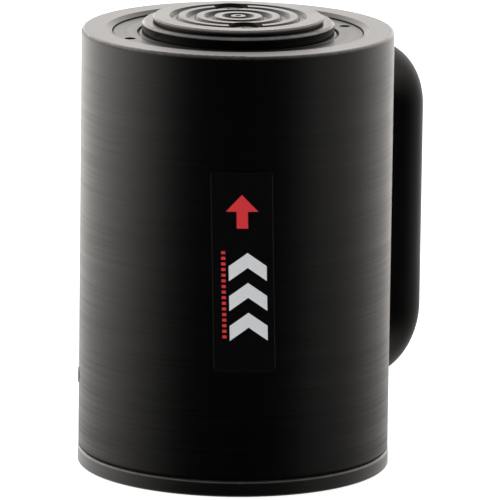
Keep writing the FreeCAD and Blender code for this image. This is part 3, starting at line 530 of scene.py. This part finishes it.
def moulded_finish(name, colour, roughness, pebble, depth, rubbed=None, mirror=0.4):
    """Moulded plastic or rubber with a pebbled skin, polished over the rubbed heights."""
    finish = Finish(name, {"Metallic": 0.0, "Specular IOR Level": mirror})
    where = finish.place()
    skin = finish.noise(where, pebble, 2.0)
    cloud = finish.noise(where, 30.0, 3.0)
    shade = finish.mix(cloud.rise(0.3, 0.7), paint(*colour), paint(*(c * 1.5 for c in colour)))
    rough = roughness + (skin - 0.5) * 0.18 + (cloud - 0.5) * 0.08
    if rubbed is not None:
        low, high = rubbed
        fade_low, fade_high = RUB_FADE
        z = finish.parts_of(where)[2]
        rough = rough - z.rise(low, high) * z.fall(high + fade_low, high + fade_high) * 0.08
    return finish.show(base_color=shade, roughness=rough, normal=finish.bump(skin, depth))


handle_skin = moulded_finish(
    "handle_skin", (0.0016, 0.0015, 0.0015), 0.55, 1400.0, 0.025 * MM,
    rubbed=(60 * MM, 80 * MM), mirror=0.55)
seal_rubber = moulded_finish("seal_rubber", (0.012, 0.012, 0.012), 0.34, 900.0, 0.004 * MM)
bearing_fabric = moulded_finish(
    "bearing_fabric", (0.30, 0.24, 0.15), 0.5, 1800.0, 0.02 * MM)
cap_nylon = moulded_finish("cap_nylon", (0.012, 0.012, 0.0125), 0.46, 1100.0, 0.015 * MM)
poppet_brass = turned_finish(
    "poppet_brass", (0.62, 0.42, 0.17), 0.28, 0.3 * MM, 0.003 * MM, metal=True)
print("moulded finishes:", handle_skin.name, seal_rubber.name, cap_nylon.name)

# %% [markdown]
# ## Dressing the finished meshes
#
# Pieces whose shape is already right keep their meshes and only get a new finish in their
# material slot. The table is written per piece, so that each can be changed alone.

# %% Finishes to pieces
DRESS = {
    "base_plate": base_steel,
    "cylinder_body": anodised_body,
    "stop_ring": anodised_ring,
    "wiper_seal": seal_rubber,
    "rod_guide_ring": bearing_fabric,
    "plunger": anodised_plunger,
    "head_seal": seal_rubber,
    "seal_backup_ring": bearing_fabric,
    "head_guide_ring": bearing_fabric,
    "saddle": anodised_saddle,
    "saddle_screws": screw_steel,
    "spring_seat": inner_steel,
    "return_spring": spring_steel,
    "spring_rod": inner_steel,
    "spring_retainer": inner_steel,
    "rod_nut": inner_steel,
    "base_screws": screw_steel,
    "handle": handle_skin,
    "handle_screws": screw_steel,
    "coupler_body": coupler_steel,
    "coupler_poppet": poppet_brass,
    "poppet_spring": spring_steel,
    "dust_cap": cap_nylon,
    "bleed_screw": plug_steel,
}
for node, material in DRESS.items():
    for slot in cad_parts[node].material_slots:
        slot.material = material
print("dressed", len(DRESS), "of", len(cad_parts), "pieces")

# %% [markdown]
# ## Winding the springs
#
# A compression spring is wire wound at an even pitch, so it is made by a rule: Geometry Nodes
# draws a spiral, sweeps a round section along it and gives it its finish. The same tree winds
# the big return spring and the small one behind the valve, from four sizes each.

# %% Spring winder


class ShapeGraph(Graph):
    """A Geometry Nodes tree with named inputs and one mesh output."""

    def __init__(self, name, sizes):
        super().__init__(bpy.data.node_groups.new(name, "GeometryNodeTree"))
        self.tree.is_modifier = True
        self.tree.interface.new_socket("Mesh", in_out="OUTPUT", socket_type="NodeSocketGeometry")
        self.identifiers = {}
        for size, kind in sizes.items():
            made = self.tree.interface.new_socket(
                size, in_out="INPUT", socket_type=f"NodeSocket{kind}")
            self.identifiers[size] = made.identifier
        entry = self.tree.nodes.new("NodeGroupInput")
        self.sizes = {size: Value(self, entry.outputs[size]) for size in sizes}

    def end(self, geometry, material):
        """Smooths, realizes and paints the geometry, and sends it out."""
        smooth = self.node("GeometryNodeSetShadeSmooth", {}, {"Geometry": geometry})
        real = self.node("GeometryNodeRealizeInstances", {}, {"Geometry": smooth})
        painted = self.node(
            "GeometryNodeSetMaterial", {}, {"Geometry": real, "Material": material})
        self.node("NodeGroupOutput", {}, {0: painted})


def grown(name, graph, values, base=None):
    """Runs a shape graph with its values and keeps the result as a plain mesh."""
    piece = bpy.data.objects.new(name, base or bpy.data.meshes.new(name))
    bpy.context.scene.collection.objects.link(piece)
    modifier = piece.modifiers.new("grow", "NODES")
    modifier.node_group = graph.tree
    for size, value in values.items():
        modifier[graph.identifiers[size]] = value
    ready = piece.evaluated_get(bpy.context.evaluated_depsgraph_get())
    mesh = bpy.data.meshes.new_from_object(ready)
    piece.modifiers.clear()
    piece.data = mesh
    mesh.name = name
    return piece


def settle(piece, place):
    """Applies a place to the mesh and makes sure that its faces point outwards."""
    shape = bmesh.new()
    shape.from_mesh(piece.data)
    bmesh.ops.remove_doubles(shape, verts=shape.verts, dist=1e-7)
    bmesh.ops.recalc_face_normals(shape, faces=shape.faces)
    shape.transform(place)
    shape.to_mesh(piece.data)
    shape.free()
    return piece


def spring_graph():
    sizes = {"Radius": "Float", "Wire": "Float", "Turns": "Float", "Tall": "Float"}
    graph = ShapeGraph("spring_winder", sizes)
    radius, wire, turns, tall = (graph.sizes[size] for size in sizes)
    rise = tall - wire
    spiral = graph.node("GeometryNodeCurveSpiral", {}, {
        "Resolution": 48, "Rotations": turns, "Start Radius": radius,
        "End Radius": radius, "Height": rise})
    lifted = graph.node("GeometryNodeTransform", {}, {
        "Geometry": spiral, "Translation": graph.vector(0.0, 0.0, wire / 2)})
    section = graph.node("GeometryNodeCurvePrimitiveCircle", {"mode": "RADIUS"}, {
        "Resolution": 14, "Radius": wire / 2})
    swept = graph.node("GeometryNodeCurveToMesh", {}, {
        "Curve": lifted, "Profile Curve": section, "Fill Caps": True})
    graph.end(swept, spring_steel)
    return graph


spring_winder = spring_graph()
SPRINGS = {
    "return_spring_wound": {"Radius": 0.022, "Wire": 0.0046, "Turns": 6.0, "Tall": 0.092},
    "poppet_spring_wound": {"Radius": 0.0046, "Wire": 0.001, "Turns": 4.0, "Tall": 0.0095},
}
RETURN_FOOT = 0.050
VALVE_FOOT = 0.06935
return_spring = grown("return_spring_wound", spring_winder, SPRINGS["return_spring_wound"])
settle(return_spring, Matrix.Translation((0, 0, RETURN_FOOT)))
poppet_spring = grown("poppet_spring_wound", spring_winder, SPRINGS["poppet_spring_wound"])
settle(poppet_spring, along_port @ Matrix.Translation((0, 0, VALVE_FOOT)))
for spring in (return_spring, poppet_spring):
    print(spring.name, "faces:", len(spring.data.polygons))

# %% [markdown]
# ## Turning on the lathe
#
# Most of the small parts are turned, some with flats milled on them afterwards. The helper
# works like the lathe: it sweeps a profile of (radius, height) points round an axis. A third
# number in a point gives the width across flats, and the radius is then held inside the
# hexagon, so a point that is smaller than the flats comes out round. That is how a real hex
# gets its chamfered corners. Edges sharper than 25 degrees stay crisp.

# %% Lathe
LATHE_STEPS = 96
LATHE_SHARP = math.radians(25)


def hexagon_reach(flats, angle):
    """How far a hexagon reaches in a direction, measured from its middle."""
    from_flat = angle % math.radians(60) - math.radians(30)
    return flats / 2 / math.cos(from_flat)


def turned(name, profile, place, material):
    """A closed turned piece from a profile loop in millimetres."""
    shape = bmesh.new()
    rows = []
    for radius, height, *flats in profile:
        row = []
        for step in range(LATHE_STEPS):
            angle = 2 * math.pi * step / LATHE_STEPS
            reach = min([radius] + [hexagon_reach(width, angle) for width in flats])
            x, y = reach * math.cos(angle), reach * math.sin(angle)
            row.append(shape.verts.new((x * MM, y * MM, height * MM)))
        rows.append(row)
    closed = profile[0][0] > 0
    for index in range(len(rows) if closed else len(rows) - 1):
        low, high = rows[index], rows[(index + 1) % len(rows)]
        for step in range(LATHE_STEPS):
            after = (step + 1) % LATHE_STEPS
            shape.faces.new((low[step], low[after], high[after], high[step]))
    for face in shape.faces:
        face.smooth = True
    bmesh.ops.remove_doubles(shape, verts=shape.verts, dist=1e-7)
    bmesh.ops.dissolve_degenerate(shape, dist=1e-8, edges=shape.edges)
    mesh = bpy.data.meshes.new(name)
    shape.to_mesh(mesh)
    shape.free()
    piece = bpy.data.objects.new(name, mesh)
    bpy.context.scene.collection.objects.link(piece)
    settle(piece, place)
    mesh.set_sharp_from_angle(angle=LATHE_SHARP)
    mesh.materials.append(material)
    return piece


print("lathe ready with", LATHE_STEPS, "steps round")

# %% [markdown]
# ## The hose coupler
#
# Oil comes in through a screwed coupler: a hexagon for the spanner, a short neck, and a nose
# with an outside thread that the hose's collar screws over. In the nose's socket sits the
# poppet, a small valve that the hose pushes open. The hexagon's corners are chamfered at both
# ends. The thread follows a helix, so Geometry Nodes sweeps a pointed ridge along a spiral
# whose section is kept upright, and its root sinks into the plain core.

# %% Coupler
NOSE_LOW, NOSE_TOP = 78.05, 98.05
THREAD_ROOT, THREAD_CREST = 12.3, 13.45
THREAD_PITCH = 1.8
THREAD_TURNS = 9.0
THREAD_START = NOSE_LOW + 1.4
coupler_profile = [
    (3.0, 49.1), (7.6, 49.1), (8.5, 50.0), (8.5, 63.55), (15.0, 63.55, 30.0),
    (15.9, 64.0, 30.0), (16.8, 64.6, 30.0), (17.4, 65.1, 30.0), (17.4, 73.5, 30.0),
    (16.8, 74.0, 30.0), (15.9, 74.6, 30.0), (14.9, 75.05, 30.0), (11.6, 75.05), (11.0, 75.6),
    (11.0, 77.5), (11.6, NOSE_LOW), (12.2, 78.9), (12.2, 96.6), (11.9, 97.5), (11.4, NOSE_TOP),
    (10.3, NOSE_TOP), (9.5, 97.2), (9.5, 86.05), (4.5, 86.05), (4.5, 84.85), (6.5, 84.85),
    (6.5, 69.35), (3.0, 69.35),
]
coupler = turned("coupler_turned", coupler_profile, along_port, coupler_steel)


def ridge_graph():
    sizes = {"Root": "Float", "Crest": "Float", "Pitch": "Float", "Turns": "Float"}
    graph = ShapeGraph("thread_cutter", sizes)
    root, crest, pitch, turns = (graph.sizes[size] for size in sizes)
    spiral = graph.node("GeometryNodeCurveSpiral", {}, {
        "Resolution": 72, "Rotations": turns, "Start Radius": root, "End Radius": root,
        "Height": pitch * turns})
    upright = graph.node("GeometryNodeSetCurveNormal", {"mode": "Z_UP"}, {"Curve": spiral})
    section = graph.node("GeometryNodeCurvePrimitiveCircle", {"mode": "RADIUS"}, {
        "Resolution": 4, "Radius": crest - root})
    swept = graph.node("GeometryNodeCurveToMesh", {}, {
        "Curve": upright, "Profile Curve": section, "Fill Caps": True})
    graph.end(swept, coupler_steel)
    return graph


thread = grown("coupler_thread", ridge_graph(), {
    "Root": THREAD_ROOT * MM, "Crest": THREAD_CREST * MM, "Pitch": THREAD_PITCH * MM,
    "Turns": THREAD_TURNS})
settle(thread, along_port @ Matrix.Translation((0, 0, THREAD_START * MM)))
thread.data.set_sharp_from_angle(angle=math.radians(30))
poppet = turned("poppet_turned", [
    (0, 78.85), (5.6, 78.85), (6.2, 79.4), (6.2, 84.2), (5.6, 84.8), (4.2, 84.8), (4.2, 87.5),
    (3.4, 88.6), (2.1, 89.05), (0, 89.05),
], along_port, poppet_brass)
print("coupler, thread and poppet:", [len(p.data.polygons) for p in (coupler, thread, poppet)])

# %% [markdown]
# ## The dust cap
#
# A plastic cap keeps dirt out of the valve. Fingers turn it, so its side is ribbed. One rib is
# a thin rod sunk into the cap's wall, repeated at even steps on a circle: Geometry Nodes puts
# an instance on each point of a mesh circle. The end has a raised ring that a mould leaves
# round its gate.

# %% Dust cap
CAP_LOW, CAP_TOP = 82.35, 101.35
CAP_RIBS = 44
cap = turned("cap_shell", [
    (13.55, CAP_LOW), (16.2, CAP_LOW), (16.9, CAP_LOW + 0.5), (16.9, CAP_LOW + 2.2),
    (16.45, CAP_LOW + 2.7), (16.45, CAP_TOP - 3.0), (16.2, CAP_TOP - 1.6), (15.4, CAP_TOP - 0.5),
    (14.2, CAP_TOP), (11.4, CAP_TOP), (11.0, CAP_TOP - 0.5), (3.2, CAP_TOP - 0.5),
    (3.0, CAP_TOP - 0.1), (2.2, CAP_TOP - 0.1), (1.9, CAP_TOP - 0.6), (0, CAP_TOP - 0.6),
    (0, 98.35), (13.55, 98.35),
], along_port, cap_nylon)


def rib_graph():
    sizes = {"Count": "Int", "Circle": "Float", "Rib": "Float", "Tall": "Float"}
    graph = ShapeGraph("ribs_on_circle", sizes)
    count, circle, rib, tall = (graph.sizes[size] for size in sizes)
    points = graph.node("GeometryNodeMeshCircle", {}, {"Vertices": count, "Radius": circle})
    rod = graph.node("GeometryNodeMeshCylinder", {}, {
        "Vertices": 8, "Side Segments": 1, "Radius": rib, "Depth": tall})
    ribs = graph.node("GeometryNodeInstanceOnPoints", {}, {"Points": points, "Instance": rod})
    graph.end(ribs, cap_nylon)
    return graph


rib_maker = rib_graph()
ribs = grown("cap_ribs", rib_maker, {
    "Count": CAP_RIBS, "Circle": 16.42 * MM, "Rib": 0.55 * MM, "Tall": 12.6 * MM})
settle(ribs, along_port @ Matrix.Translation((0, 0, (CAP_LOW + 9.0) * MM)))
ribs.data.set_sharp_from_angle(angle=math.radians(50))
print("cap ribs:", CAP_RIBS)

# %% [markdown]
# ## Socket screws
#
# Two cap screws hold the saddle and two hold the handle. Such a screw has a knurled head with
# a chamfered rim, a hexagon socket and a rolled thread. One screw is turned with its socket
# and its thread rings, the knurl is the same rib tree as on the cap, and a small tree puts a
# copy on each point of a mesh that holds only the screws' places.

# %% Screws
SCREW_PITCH = 1.0
SCREW_CORE = 0.55
THREAD_END = -4.0
SCREW_KNURLS = 48


def screw_blank(name, radius, head, tall, socket, long):
    """One socket screw, with the underside of its head at height 0."""
    profile = [(0, -long), (radius - 0.7, -long), (radius - 0.1, 0.7 - long)]
    height = 1.2 - long
    while height < THREAD_END:
        profile += [(radius - SCREW_CORE, height), (radius, height + SCREW_PITCH / 2)]
        height += SCREW_PITCH
    profile += [(radius - 0.1, -3.0), (radius - 0.1, 0), (head - 0.3, 0), (head - 0.1, 0.2)]
    corner = socket / math.sqrt(3)
    profile += [
        (head - 0.1, tall - 1.1), (head - 0.4, tall - 0.5), (head - 1.1, tall),
        (corner + 0.5, tall), (corner + 0.05, tall - 0.4, socket),
        (corner + 0.05, tall * 0.45, socket), (0, tall * 0.38),
    ]
    blank = turned(name, profile, Matrix.Identity(4), screw_steel)
    knurl = grown(f"{name}_knurl", rib_maker, {
        "Count": SCREW_KNURLS, "Circle": (head - 0.3) * MM, "Rib": 0.3 * MM,
        "Tall": (tall - 1.8) * MM})
    settle(knurl, Matrix.Translation((0, 0, (tall / 2 - 0.2) * MM)))
    joined = bmesh.new()
    joined.from_mesh(blank.data)
    joined.from_mesh(knurl.data)
    joined.to_mesh(blank.data)
    joined.free()
    bpy.data.objects.remove(knurl)
    return blank


def placing_graph():
    sizes = {"Places": "Geometry", "Blank": "Object"}
    graph = ShapeGraph("screws_on_places", sizes)
    blank = graph.node("GeometryNodeObjectInfo", {}, {"Object": graph.sizes["Blank"]}, "Geometry")
    inputs = {"Points": graph.sizes["Places"], "Instance": blank}
    placed = graph.node("GeometryNodeInstanceOnPoints", {}, inputs)
    graph.end(placed, screw_steel)
    return graph


screw_placer = placing_graph()


def screw_set(name, blank, places, place):
    """Copies of one screw at points given in millimetres, laid along a place."""
    points = bpy.data.meshes.new(f"{name}_places")
    points.from_pydata([[c * MM for c in point] for point in places], [], [])
    screws = grown(name, screw_placer, {"Blank": blank}, points)
    bpy.data.objects.remove(blank)
    settle(screws, place)
    screws.data.set_sharp_from_angle(angle=math.radians(30))
    return screws


saddle_blank = screw_blank("saddle_screw", 4.0, 6.5, 8.0, 6.0, 16.1)
saddle_places = [(14.245, 17.28, 180.1), (-14.245, -17.28, 180.1)]
saddle_screws = screw_set("saddle_screws_turned", saddle_blank, saddle_places, Matrix.Identity(4))
handle_blank = screw_blank("handle_screw", 3.0, 5.0, 6.0, 5.0, 27.0)
outwards = Matrix.Rotation(math.radians(90), 4, "Y")
handle_places = [(-33.2, 0, 82.0), (-159.4, 0, 82.0)]
handle_screws = screw_set("handle_screws_turned", handle_blank, handle_places, outwards)
print("screws:", len(saddle_screws.data.polygons), len(handle_screws.data.polygons), "faces")

# %% [markdown]
# ## The label plate
#
# A thin glossy plate is bonded to the front of the body. It is bent to the body's curve, so it
# is built as a grid wrapped round the axis: a front sheet, a back sheet and a rim between
# them, with rounded corners. Its own UV map is in millimetres across the plate, and the
# printing is worked out from that map. The print is generic: an arrow and three chevrons that
# point the way of the lift, with a row of short bars beside the chevrons.

# %% Label shape
LABEL_AZIMUTH = 225.55
LABEL_WIDE = 25.5
LABEL_LOW, LABEL_HIGH = 53.1, 136.2
LABEL_TALL = LABEL_HIGH - LABEL_LOW
LABEL_LEAN = -2.35
LABEL_CORNER = 1.3
CORNER_STEPS = 8
LABEL_FRONT, LABEL_BACK = 65.24, 65.0
LABEL_COLUMNS = 48
ARC = math.radians(1) * LABEL_BACK


def label_rows():
    """Heights with the plate's half width at each, closer together at the corners."""
    rows = []
    for step in range(CORNER_STEPS + 1):
        turn = math.radians(90) * step / CORNER_STEPS
        rows.append((LABEL_LOW + LABEL_CORNER * (1 - math.cos(turn)),
                     LABEL_WIDE / 2 - LABEL_CORNER * (1 - math.sin(turn))))
    upper = [(LABEL_LOW + LABEL_HIGH - height, half) for height, half in reversed(rows)]
    return rows + upper


def label_plate():
    """A thin bent plate: two sheets with a rim between them."""
    shape = bmesh.new()
    maps = shape.loops.layers.uv.new("label_mm")
    middle = (LABEL_LOW + LABEL_HIGH) / 2
    where = {}
    sheets = []
    for radius in (LABEL_FRONT, LABEL_BACK):
        sheet = []
        for height, half in label_rows():
            lean = LABEL_LEAN * (height - middle) / LABEL_TALL
            row = []
            for column in range(LABEL_COLUMNS + 1):
                across = half * (2 * column / LABEL_COLUMNS - 1)
                angle = math.radians(LABEL_AZIMUTH + (across + lean) / ARC)
                x, y = radius * math.cos(angle), radius * math.sin(angle)
                vert = shape.verts.new((x * MM, y * MM, height * MM))
                where[vert] = (across, height - middle)
                row.append(vert)
            sheet.append(row)
        sheets.append(sheet)
    front_sheet, back_sheet = sheets
    last = len(front_sheet) - 1
    for row in range(last):
        for column in range(LABEL_COLUMNS):
            for sheet in sheets:
                shape.faces.new((sheet[row][column], sheet[row][column + 1],
                                 sheet[row + 1][column + 1], sheet[row + 1][column]))
    rim = [(0, c) for c in range(LABEL_COLUMNS)] + [(r, LABEL_COLUMNS) for r in range(last)]
    rim += [(last, c) for c in range(LABEL_COLUMNS, 0, -1)] + [(r, 0) for r in range(last, 0, -1)]
    for (row, column), (next_row, next_column) in zip(rim, rim[1:] + rim[:1]):
        shape.faces.new((front_sheet[row][column], front_sheet[next_row][next_column],
                         back_sheet[next_row][next_column], back_sheet[row][column]))
    for face in shape.faces:
        face.smooth = True
        for loop in face.loops:
            loop[maps].uv = where[loop.vert]
    bmesh.ops.recalc_face_normals(shape, faces=shape.faces)
    mesh = bpy.data.meshes.new("label_plate")
    shape.to_mesh(mesh)
    shape.free()
    mesh.set_sharp_from_angle(angle=math.radians(40))
    plate = bpy.data.objects.new("label_plate", mesh)
    bpy.context.scene.collection.objects.link(plate)
    return plate


label = label_plate()
print("label plate faces:", len(label.data.polygons))

# %% [markdown]
# The print is made of masks. A chevron is a band about an upturned V: the height above the
# V's legs is `v + slope * |u|`, and a band of that height, cut off at the sides, is one arm
# pair. Three of them stacked give a steady upward rhythm. Ink is a little rougher than the
# clear varnish over the plain black, so the masks feed the roughness too.

# %% Label print
INK_WHITE = (0.75, 0.78, 0.81)
INK_RED = (0.74, 0.016, 0.028)
LABEL_BLACK = (0.003, 0.003, 0.0032)
LABEL_EDGE_HIGHLIGHT = (0.016, 0.016, 0.017)
CHEVRON_FEET = (-28.7, -16.2, -3.7)
CHEVRON_MIDDLE, CHEVRON_HALF = 1.9, 7.8
CHEVRON_RISE, CHEVRON_SLOPE, CHEVRON_ARM = 5.7, 0.72, 6.2
BAR_PITCH, BAR_HALF = 2.35, 0.62
BAR_SIDES, BAR_ENDS = (-8.9, -7.2), (-28.6, 9.2)
ARROW_TIP, ARROW_SPREAD = 32.4, 0.95
ARROW_HEAD, ARROW_STEM, STEM_HALF = (25.4, 33.0), (18.4, 25.6), 2.3
EDGE = 0.12


def under(value, high):
    """1 below high, with a thin soft edge."""
    return value.fall(high - EDGE, high + EDGE)


def band(value, low, high):
    """1 between low and high, with thin soft edges."""
    return value.rise(low - EDGE, low + EDGE) * under(value, high)


def label_finish():
    """Black varnish with white chevrons, a red arrow and bars, and edges with a painted
    highlight.
    """
    finish = Finish("label_print", {"Metallic": 0.0, "Coat Weight": 0.5, "Coat Roughness": 0.08})
    print_map = finish.node("ShaderNodeUVMap", {"uv_map": "label_mm"})
    u, v, _ = finish.parts_of(print_map)
    side = abs(u - CHEVRON_MIDDLE)
    chevrons = None
    for foot in CHEVRON_FEET:
        height = v + side * CHEVRON_SLOPE - foot - CHEVRON_RISE
        arm = band(height, 0.0, CHEVRON_ARM) * under(side, CHEVRON_HALF)
        chevrons = arm if chevrons is None else chevrons.largest(arm)
    bars = under(abs((v / BAR_PITCH).math("FRACT") - 0.5) * BAR_PITCH, BAR_HALF)
    bars = bars * band(u, *BAR_SIDES) * band(v, *BAR_ENDS)
    middle = abs(u)
    head = ((ARROW_TIP - v) * ARROW_SPREAD - middle).rise(-EDGE, EDGE) * band(v, *ARROW_HEAD)
    stem = under(middle, STEM_HALF) * band(v, *ARROW_STEM)
    red = bars.largest(head).largest(stem)
    # The plate's edges are painted lighter, a painted highlight of the light that its thin rim
    # catches.
    rim = middle.rise(LABEL_WIDE / 2 - 0.4, LABEL_WIDE / 2 - 0.15)
    rim = rim.largest(abs(v).rise(LABEL_TALL / 2 - 0.3, LABEL_TALL / 2 - 0.1) * 0.4)
    grain = finish.noise(finish.place(), 500.0, 3.0, 0.6)
    white = finish.mix(grain, paint(*INK_WHITE), paint(*(c * 0.93 for c in INK_WHITE)))
    shade = finish.mix(rim, paint(*LABEL_BLACK), paint(*LABEL_EDGE_HIGHLIGHT))
    shade = finish.mix(chevrons, shade, white)
    shade = finish.mix(red, shade, paint(*INK_RED))
    cloud = finish.noise(finish.place(), 60.0, 3.0)
    rough = 0.16 + chevrons.largest(red) * 0.16 + (cloud - 0.5) * 0.08
    return finish.show(base_color=shade, roughness=rough)


label_print = label_finish()
label.data.materials.append(label_print)
print("label printed on", label.name)

# %% [markdown]
# ## Who moves with whom
#
# Each record gives the new piece, the body that carries it, the name of its finish's slot and
# the drawn piece that it stands for. Every new piece rides on its body, and the drawn piece, if
# there is one, is hidden. Springs can't follow a joint as rigid pieces do; in the real cylinder
# the return spring sits on its retainer and the rising seat presses it, and the little valve
# spring is pressed by the poppet. Here the two springs only get meshes of their own.

# %% Riding and replacing
PIECES = [
    (return_spring, "barrel", "spring_steel", "return_spring"),
    (poppet_spring, "barrel", "spring_steel", "poppet_spring"),
    (coupler, "barrel", "coupler_steel", "coupler_body"),
    (thread, "barrel", "coupler_steel", "coupler_body"),
    (poppet, "poppet", "poppet_brass", "coupler_poppet"),
    (cap, "cap", "cap_plastic", "dust_cap"),
    (ribs, "cap", "cap_plastic", "dust_cap"),
    (saddle_screws, "ram", "screw_steel", "saddle_screws"),
    (handle_screws, "barrel", "screw_steel", "handle_screws"),
    (label, "barrel", "anodised_body", None),
]
for piece, body, slot, node in PIECES:
    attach(piece, body)
    if node:
        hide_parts(node)
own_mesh(return_spring)
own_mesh(poppet_spring)
print("new pieces:", len(PIECES))

# %% [markdown]
# ## The floor
#
# The cylinder stands on a pale table that fades into the white room. The floor is wide enough
# to have no horizon in the view. Its own faint glow keeps it white and leaves only the soft
# dark line where the base meets it, and it is left out of glossy reflections.

# %% Floor
FLOOR_HALF = 30.0
FLOOR_GLOW = 0.8


def floor_finish():
    finish = Finish("floor", {
        "Roughness": 0.8, "Specular IOR Level": 0.1, "Emission Color": paint(1, 1, 1),
        "Emission Strength": FLOOR_GLOW})
    speck = finish.noise(finish.place(), 60.0, 2.0)
    shade = finish.mix(speck, paint(0.90, 0.90, 0.90), paint(0.93, 0.93, 0.93))
    return finish.show(base_color=shade)


corners = [(-FLOOR_HALF, -FLOOR_HALF), (FLOOR_HALF, -FLOOR_HALF),
           (FLOOR_HALF, FLOOR_HALF), (-FLOOR_HALF, FLOOR_HALF)]
floor_mesh = bpy.data.meshes.new("floor")
floor_mesh.from_pydata([(x, y, 0) for x, y in corners], [], [(0, 1, 2, 3)])
floor_mesh.materials.append(floor_finish())
floor = bpy.data.objects.new("floor", floor_mesh)
bpy.context.scene.collection.objects.link(floor)
floor.visible_glossy = False
print("floor:", FLOOR_HALF * 2, "m wide")
